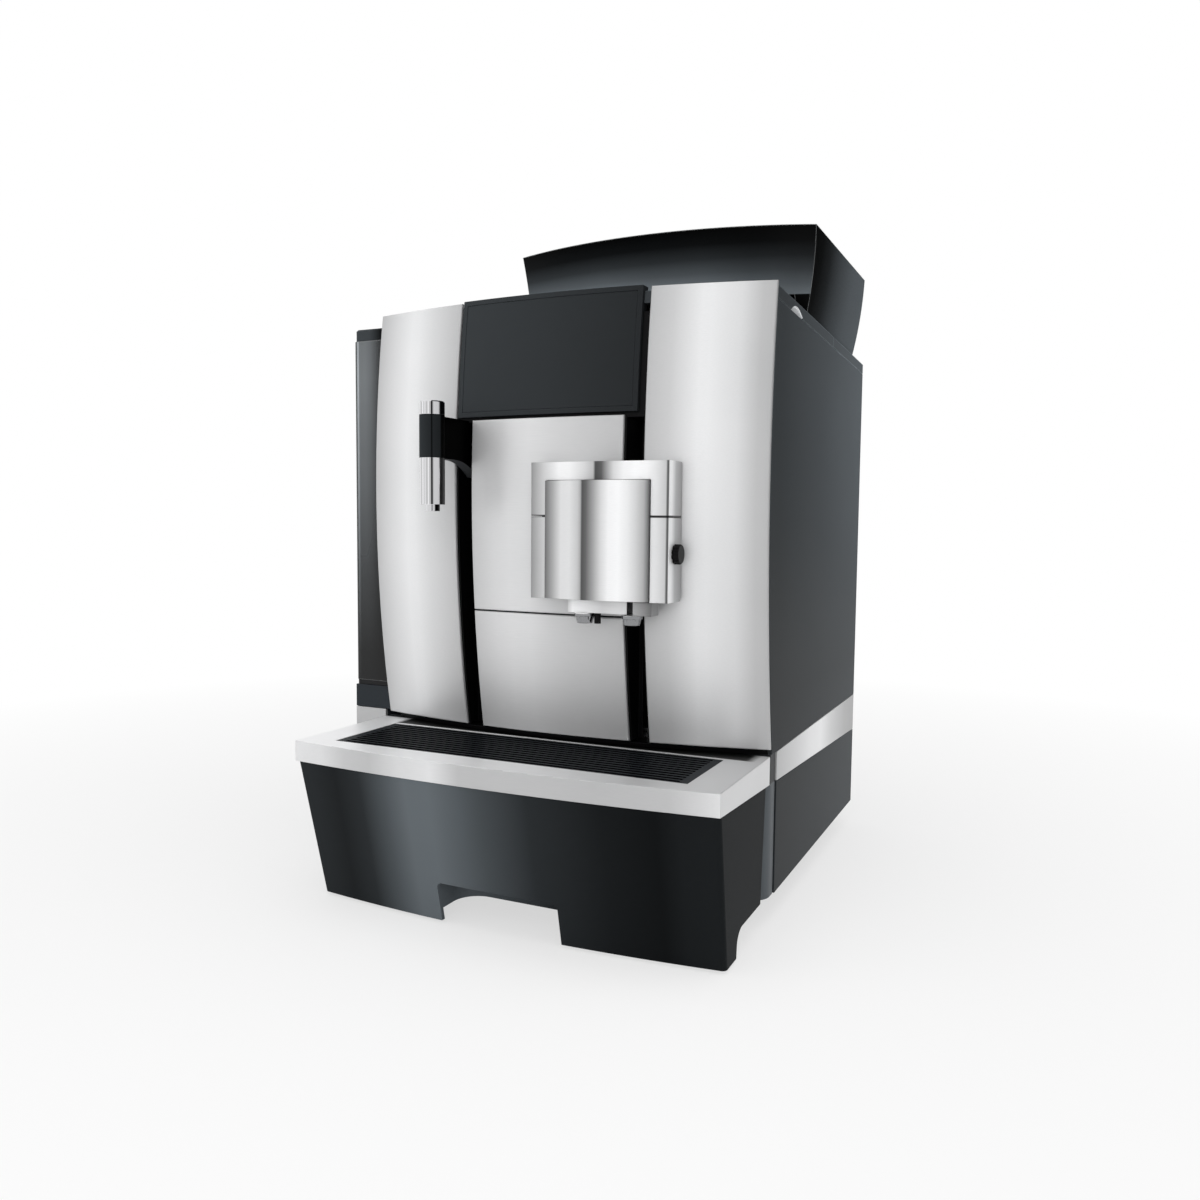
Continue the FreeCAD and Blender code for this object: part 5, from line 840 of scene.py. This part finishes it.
def scoop_highlight():
    """A pale sheet over the finger scoop in the right edge of the top cover: a painted highlight where light
    falls into the scoop.
    """
    reach = math.radians(SCOOP_REACH_DEG)
    points, faces = [], []
    for column in range(SCOOP_COLUMNS + 1):
        angle = -reach + 2 * reach * column / SCOOP_COLUMNS
        low = SCOOP_FOOT / (math.cos(angle) + SCOOP_FALL * math.sin(angle))
        for row in range(SCOOP_ROWS + 1):
            rho = low + (SCOOP_FACE_R - low) * row / SCOOP_ROWS
            depth = math.sqrt(SCOOP_R ** 2 - rho ** 2)
            points.append(SCOOP_CENTRE + Vector((-depth, rho * math.sin(angle), rho * math.cos(angle))))
    for column in range(SCOOP_COLUMNS):
        for row in range(SCOOP_ROWS):
            corner = column * (SCOOP_ROWS + 1) + row
            faces.append((corner, corner + SCOOP_ROWS + 1, corner + SCOOP_ROWS + 2, corner + 1))
    # Pale colour of the sheet: a painted highlight in the scoop
    pale = plastic("scoop_pale", linear(196, 198, 200), linear(206, 208, 210), 0.5, FINE, 0.00001, 0.3)
    obj = add_piece("scoop_highlight", points, faces, "chassis", pale, True)
    skin = obj.modifiers.new("skin", "SOLIDIFY")
    skin.thickness = SCOOP_SKIN


rear_places = [(x, REAR_Y, z) for z in REAR_SCREW_Z for x in REAR_SCREW_X]
rear_places += [(x, REAR_Y, z) for z in REAR_SIDE_Z for x in REAR_SIDE_X]
fan_places = [(FAN_X + x, REAR_Y, FAN_Z + z) for x in FAN_SCREWS for z in FAN_SCREWS]
inlet_places = [(INLET_X + x, INLET_Y, INLET_Z) for x in INLET_SCREWS]
base_places = [(x, y, BASE_Z) for x in BASE_SCREW_X for y in BASE_SCREW_Y]
screws("rear_screws", rear_places, TO_REAR)
screws("fan_screws", fan_places, TO_REAR, FAN_SCREW_SCALE)
screws("inlet_screws", inlet_places, TO_REAR, INLET_SCREW_SCALE)
screws("base_screws", base_places, DOWNWARDS)
for label, x, z in BLADES:
    blade("inlet_blade_" + label, INLET_X + x, INLET_Z + z)
switch_mark("switch_on_mark", *on_bar(), 1)
switch_mark("switch_off_mark", *off_ring(), -1)
scoop_highlight()
tank_gasket()


# Stage: white surroundings, softboxes that only reflections see, a pale floor and lamps
def seen_directly(tree):
    """1 for rays that look at the surroundings: from the camera, a reflection or through glass."""
    path = tree.nodes.new("ShaderNodeLightPath")
    total = path.outputs["Is Camera Ray"]
    for name in ("Is Glossy Ray", "Is Transmission Ray"):
        larger = tree.nodes.new("ShaderNodeMath")
        larger.operation = "MAXIMUM"
        tree.links.new(total, larger.inputs[0])
        tree.links.new(path.outputs[name], larger.inputs[1])
        total = larger.outputs["Value"]
    return total


def studio_levels(tree):
    """Level of the surroundings by direction round the object."""
    place = tree.nodes.new("ShaderNodeTexCoord")
    parts = tree.nodes.new("ShaderNodeSeparateXYZ")
    tree.links.new(place.outputs["Generated"], parts.inputs["Vector"])
    back = tree.nodes.new("ShaderNodeMath")
    back.operation = "MULTIPLY"
    back.inputs[1].default_value = -1.0
    tree.links.new(parts.outputs["Y"], back.inputs[0])
    angle = tree.nodes.new("ShaderNodeMath")
    angle.operation = "ARCTAN2"
    tree.links.new(parts.outputs["X"], angle.inputs[0])
    tree.links.new(back.outputs["Value"], angle.inputs[1])
    turn = tree.nodes.new("ShaderNodeMapRange")
    turn.inputs["From Min"].default_value = -math.pi
    turn.inputs["From Max"].default_value = math.pi
    tree.links.new(angle.outputs["Value"], turn.inputs["Value"])
    stops = [((degrees + 180) / 360, level) for degrees, level in STUDIO]
    return level_ramp(tree, turn.outputs["Result"], stops)


def white_world():
    world = bpy.data.worlds.new("studio")
    bpy.context.scene.world = world
    world.use_nodes = True
    tree = world.node_tree
    tree.nodes.clear()
    path = tree.nodes.new("ShaderNodeLightPath")
    fill, white, boxes = (tree.nodes.new("ShaderNodeBackground") for _ in range(3))
    fill.inputs["Color"].default_value = (1.0, 1.0, 1.0, 1.0)
    fill.inputs["Strength"].default_value = WORLD_FILL
    white.inputs["Color"].default_value = (1.0, 1.0, 1.0, 1.0)
    white.inputs["Strength"].default_value = WORLD_WHITE
    boxes.inputs["Strength"].default_value = STUDIO_GAIN
    tree.links.new(studio_levels(tree), boxes.inputs["Color"])
    shown = fill.outputs["Background"]
    seen = (("Is Camera Ray", white), ("Is Transmission Ray", white), ("Is Glossy Ray", boxes))
    for ray, background in seen:
        mix = tree.nodes.new("ShaderNodeMixShader")
        tree.links.new(path.outputs[ray], mix.inputs["Fac"])
        tree.links.new(shown, mix.inputs[1])
        tree.links.new(background.outputs["Background"], mix.inputs[2])
        shown = mix.outputs["Shader"]
    output = tree.nodes.new("ShaderNodeOutputWorld")
    tree.links.new(shown, output.inputs["Surface"])


def pale_floor():
    half = FLOOR_SIZE / 2
    mesh = bpy.data.meshes.new("floor")
    corners = [(-half, -half, 0), (half, -half, 0), (half, half, 0), (-half, half, 0)]
    mesh.from_pydata(corners, [], [(0, 1, 2, 3)])
    floor = bpy.data.objects.new("floor", mesh)
    bpy.context.scene.collection.objects.link(floor)
    material = bpy.data.materials.new("floor_white")
    material.use_nodes = True
    tree = material.node_tree
    tree.nodes.clear()
    matt = tree.nodes.new("ShaderNodeBsdfDiffuse")
    matt.inputs["Color"].default_value = FLOOR_GREY
    glow = tree.nodes.new("ShaderNodeEmission")
    glow.inputs["Color"].default_value = (1.0, 1.0, 1.0, 1.0)
    glow.inputs["Strength"].default_value = WORLD_WHITE
    place = tree.nodes.new("ShaderNodeTexCoord")
    reach = tree.nodes.new("ShaderNodeVectorMath")
    reach.operation = "LENGTH"
    tree.links.new(place.outputs["Object"], reach.inputs[0])
    fade = tree.nodes.new("ShaderNodeMapRange")
    fade.inputs["From Min"].default_value = FLOOR_NEAR
    fade.inputs["From Max"].default_value = FLOOR_CLEAR
    fade.inputs["To Min"].default_value = FLOOR_NEAR_WHITE
    fade.inputs["To Max"].default_value = 1.0
    tree.links.new(reach.outputs["Value"], fade.inputs["Value"])
    share = tree.nodes.new("ShaderNodeMath")
    share.operation = "MULTIPLY"
    tree.links.new(seen_directly(tree), share.inputs[0])
    tree.links.new(fade.outputs["Result"], share.inputs[1])
    mix = tree.nodes.new("ShaderNodeMixShader")
    tree.links.new(share.outputs["Value"], mix.inputs["Fac"])
    tree.links.new(matt.outputs["BSDF"], mix.inputs[1])
    tree.links.new(glow.outputs["Emission"], mix.inputs[2])
    output = tree.nodes.new("ShaderNodeOutputMaterial")
    tree.links.new(mix.outputs["Shader"], output.inputs["Surface"])
    floor.data.materials.append(material)


def lamp(name, power, width, height, at):
    data = bpy.data.lights.new(name, "AREA")
    data.shape = "RECTANGLE"
    data.size = width
    data.size_y = height
    data.energy = power
    obj = bpy.data.objects.new(name, data)
    bpy.context.scene.collection.objects.link(obj)
    obj.location = at
    obj.rotation_mode = "QUATERNION"
    obj.rotation_quaternion = (Vector(MIDDLE) - Vector(at)).to_track_quat("-Z", "Y")
    obj.visible_glossy = False


white_world()
pale_floor()
for settings in LAMPS:
    lamp(*settings)


# Camera at the photo's place
def camera():
    yaw, pitch, roll = (math.radians(v) for v in (CAMERA_YAW, CAMERA_PITCH, CAMERA_ROLL))
    ahead = Vector((-math.sin(yaw) * math.cos(pitch), math.cos(yaw) * math.cos(pitch), math.sin(pitch)))
    right = Vector((math.cos(yaw), math.sin(yaw), 0.0))
    up = right.cross(ahead)
    side = right * math.cos(roll) + up * math.sin(roll)
    top = up * math.cos(roll) - right * math.sin(roll)
    data = bpy.data.cameras.new("camera")
    data.lens = CAMERA_LENS
    data.sensor_width = CAMERA_SENSOR
    data.clip_start = CAMERA_NEAR
    data.clip_end = CAMERA_FAR
    obj = bpy.data.objects.new("camera", data)
    bpy.context.scene.collection.objects.link(obj)
    obj.matrix_world = Matrix.Translation(CAMERA_AT) @ Matrix((side, top, -ahead)).transposed().to_4x4()
    bpy.context.scene.camera = obj


camera()
bpy.context.scene.view_settings.view_transform = "Standard"
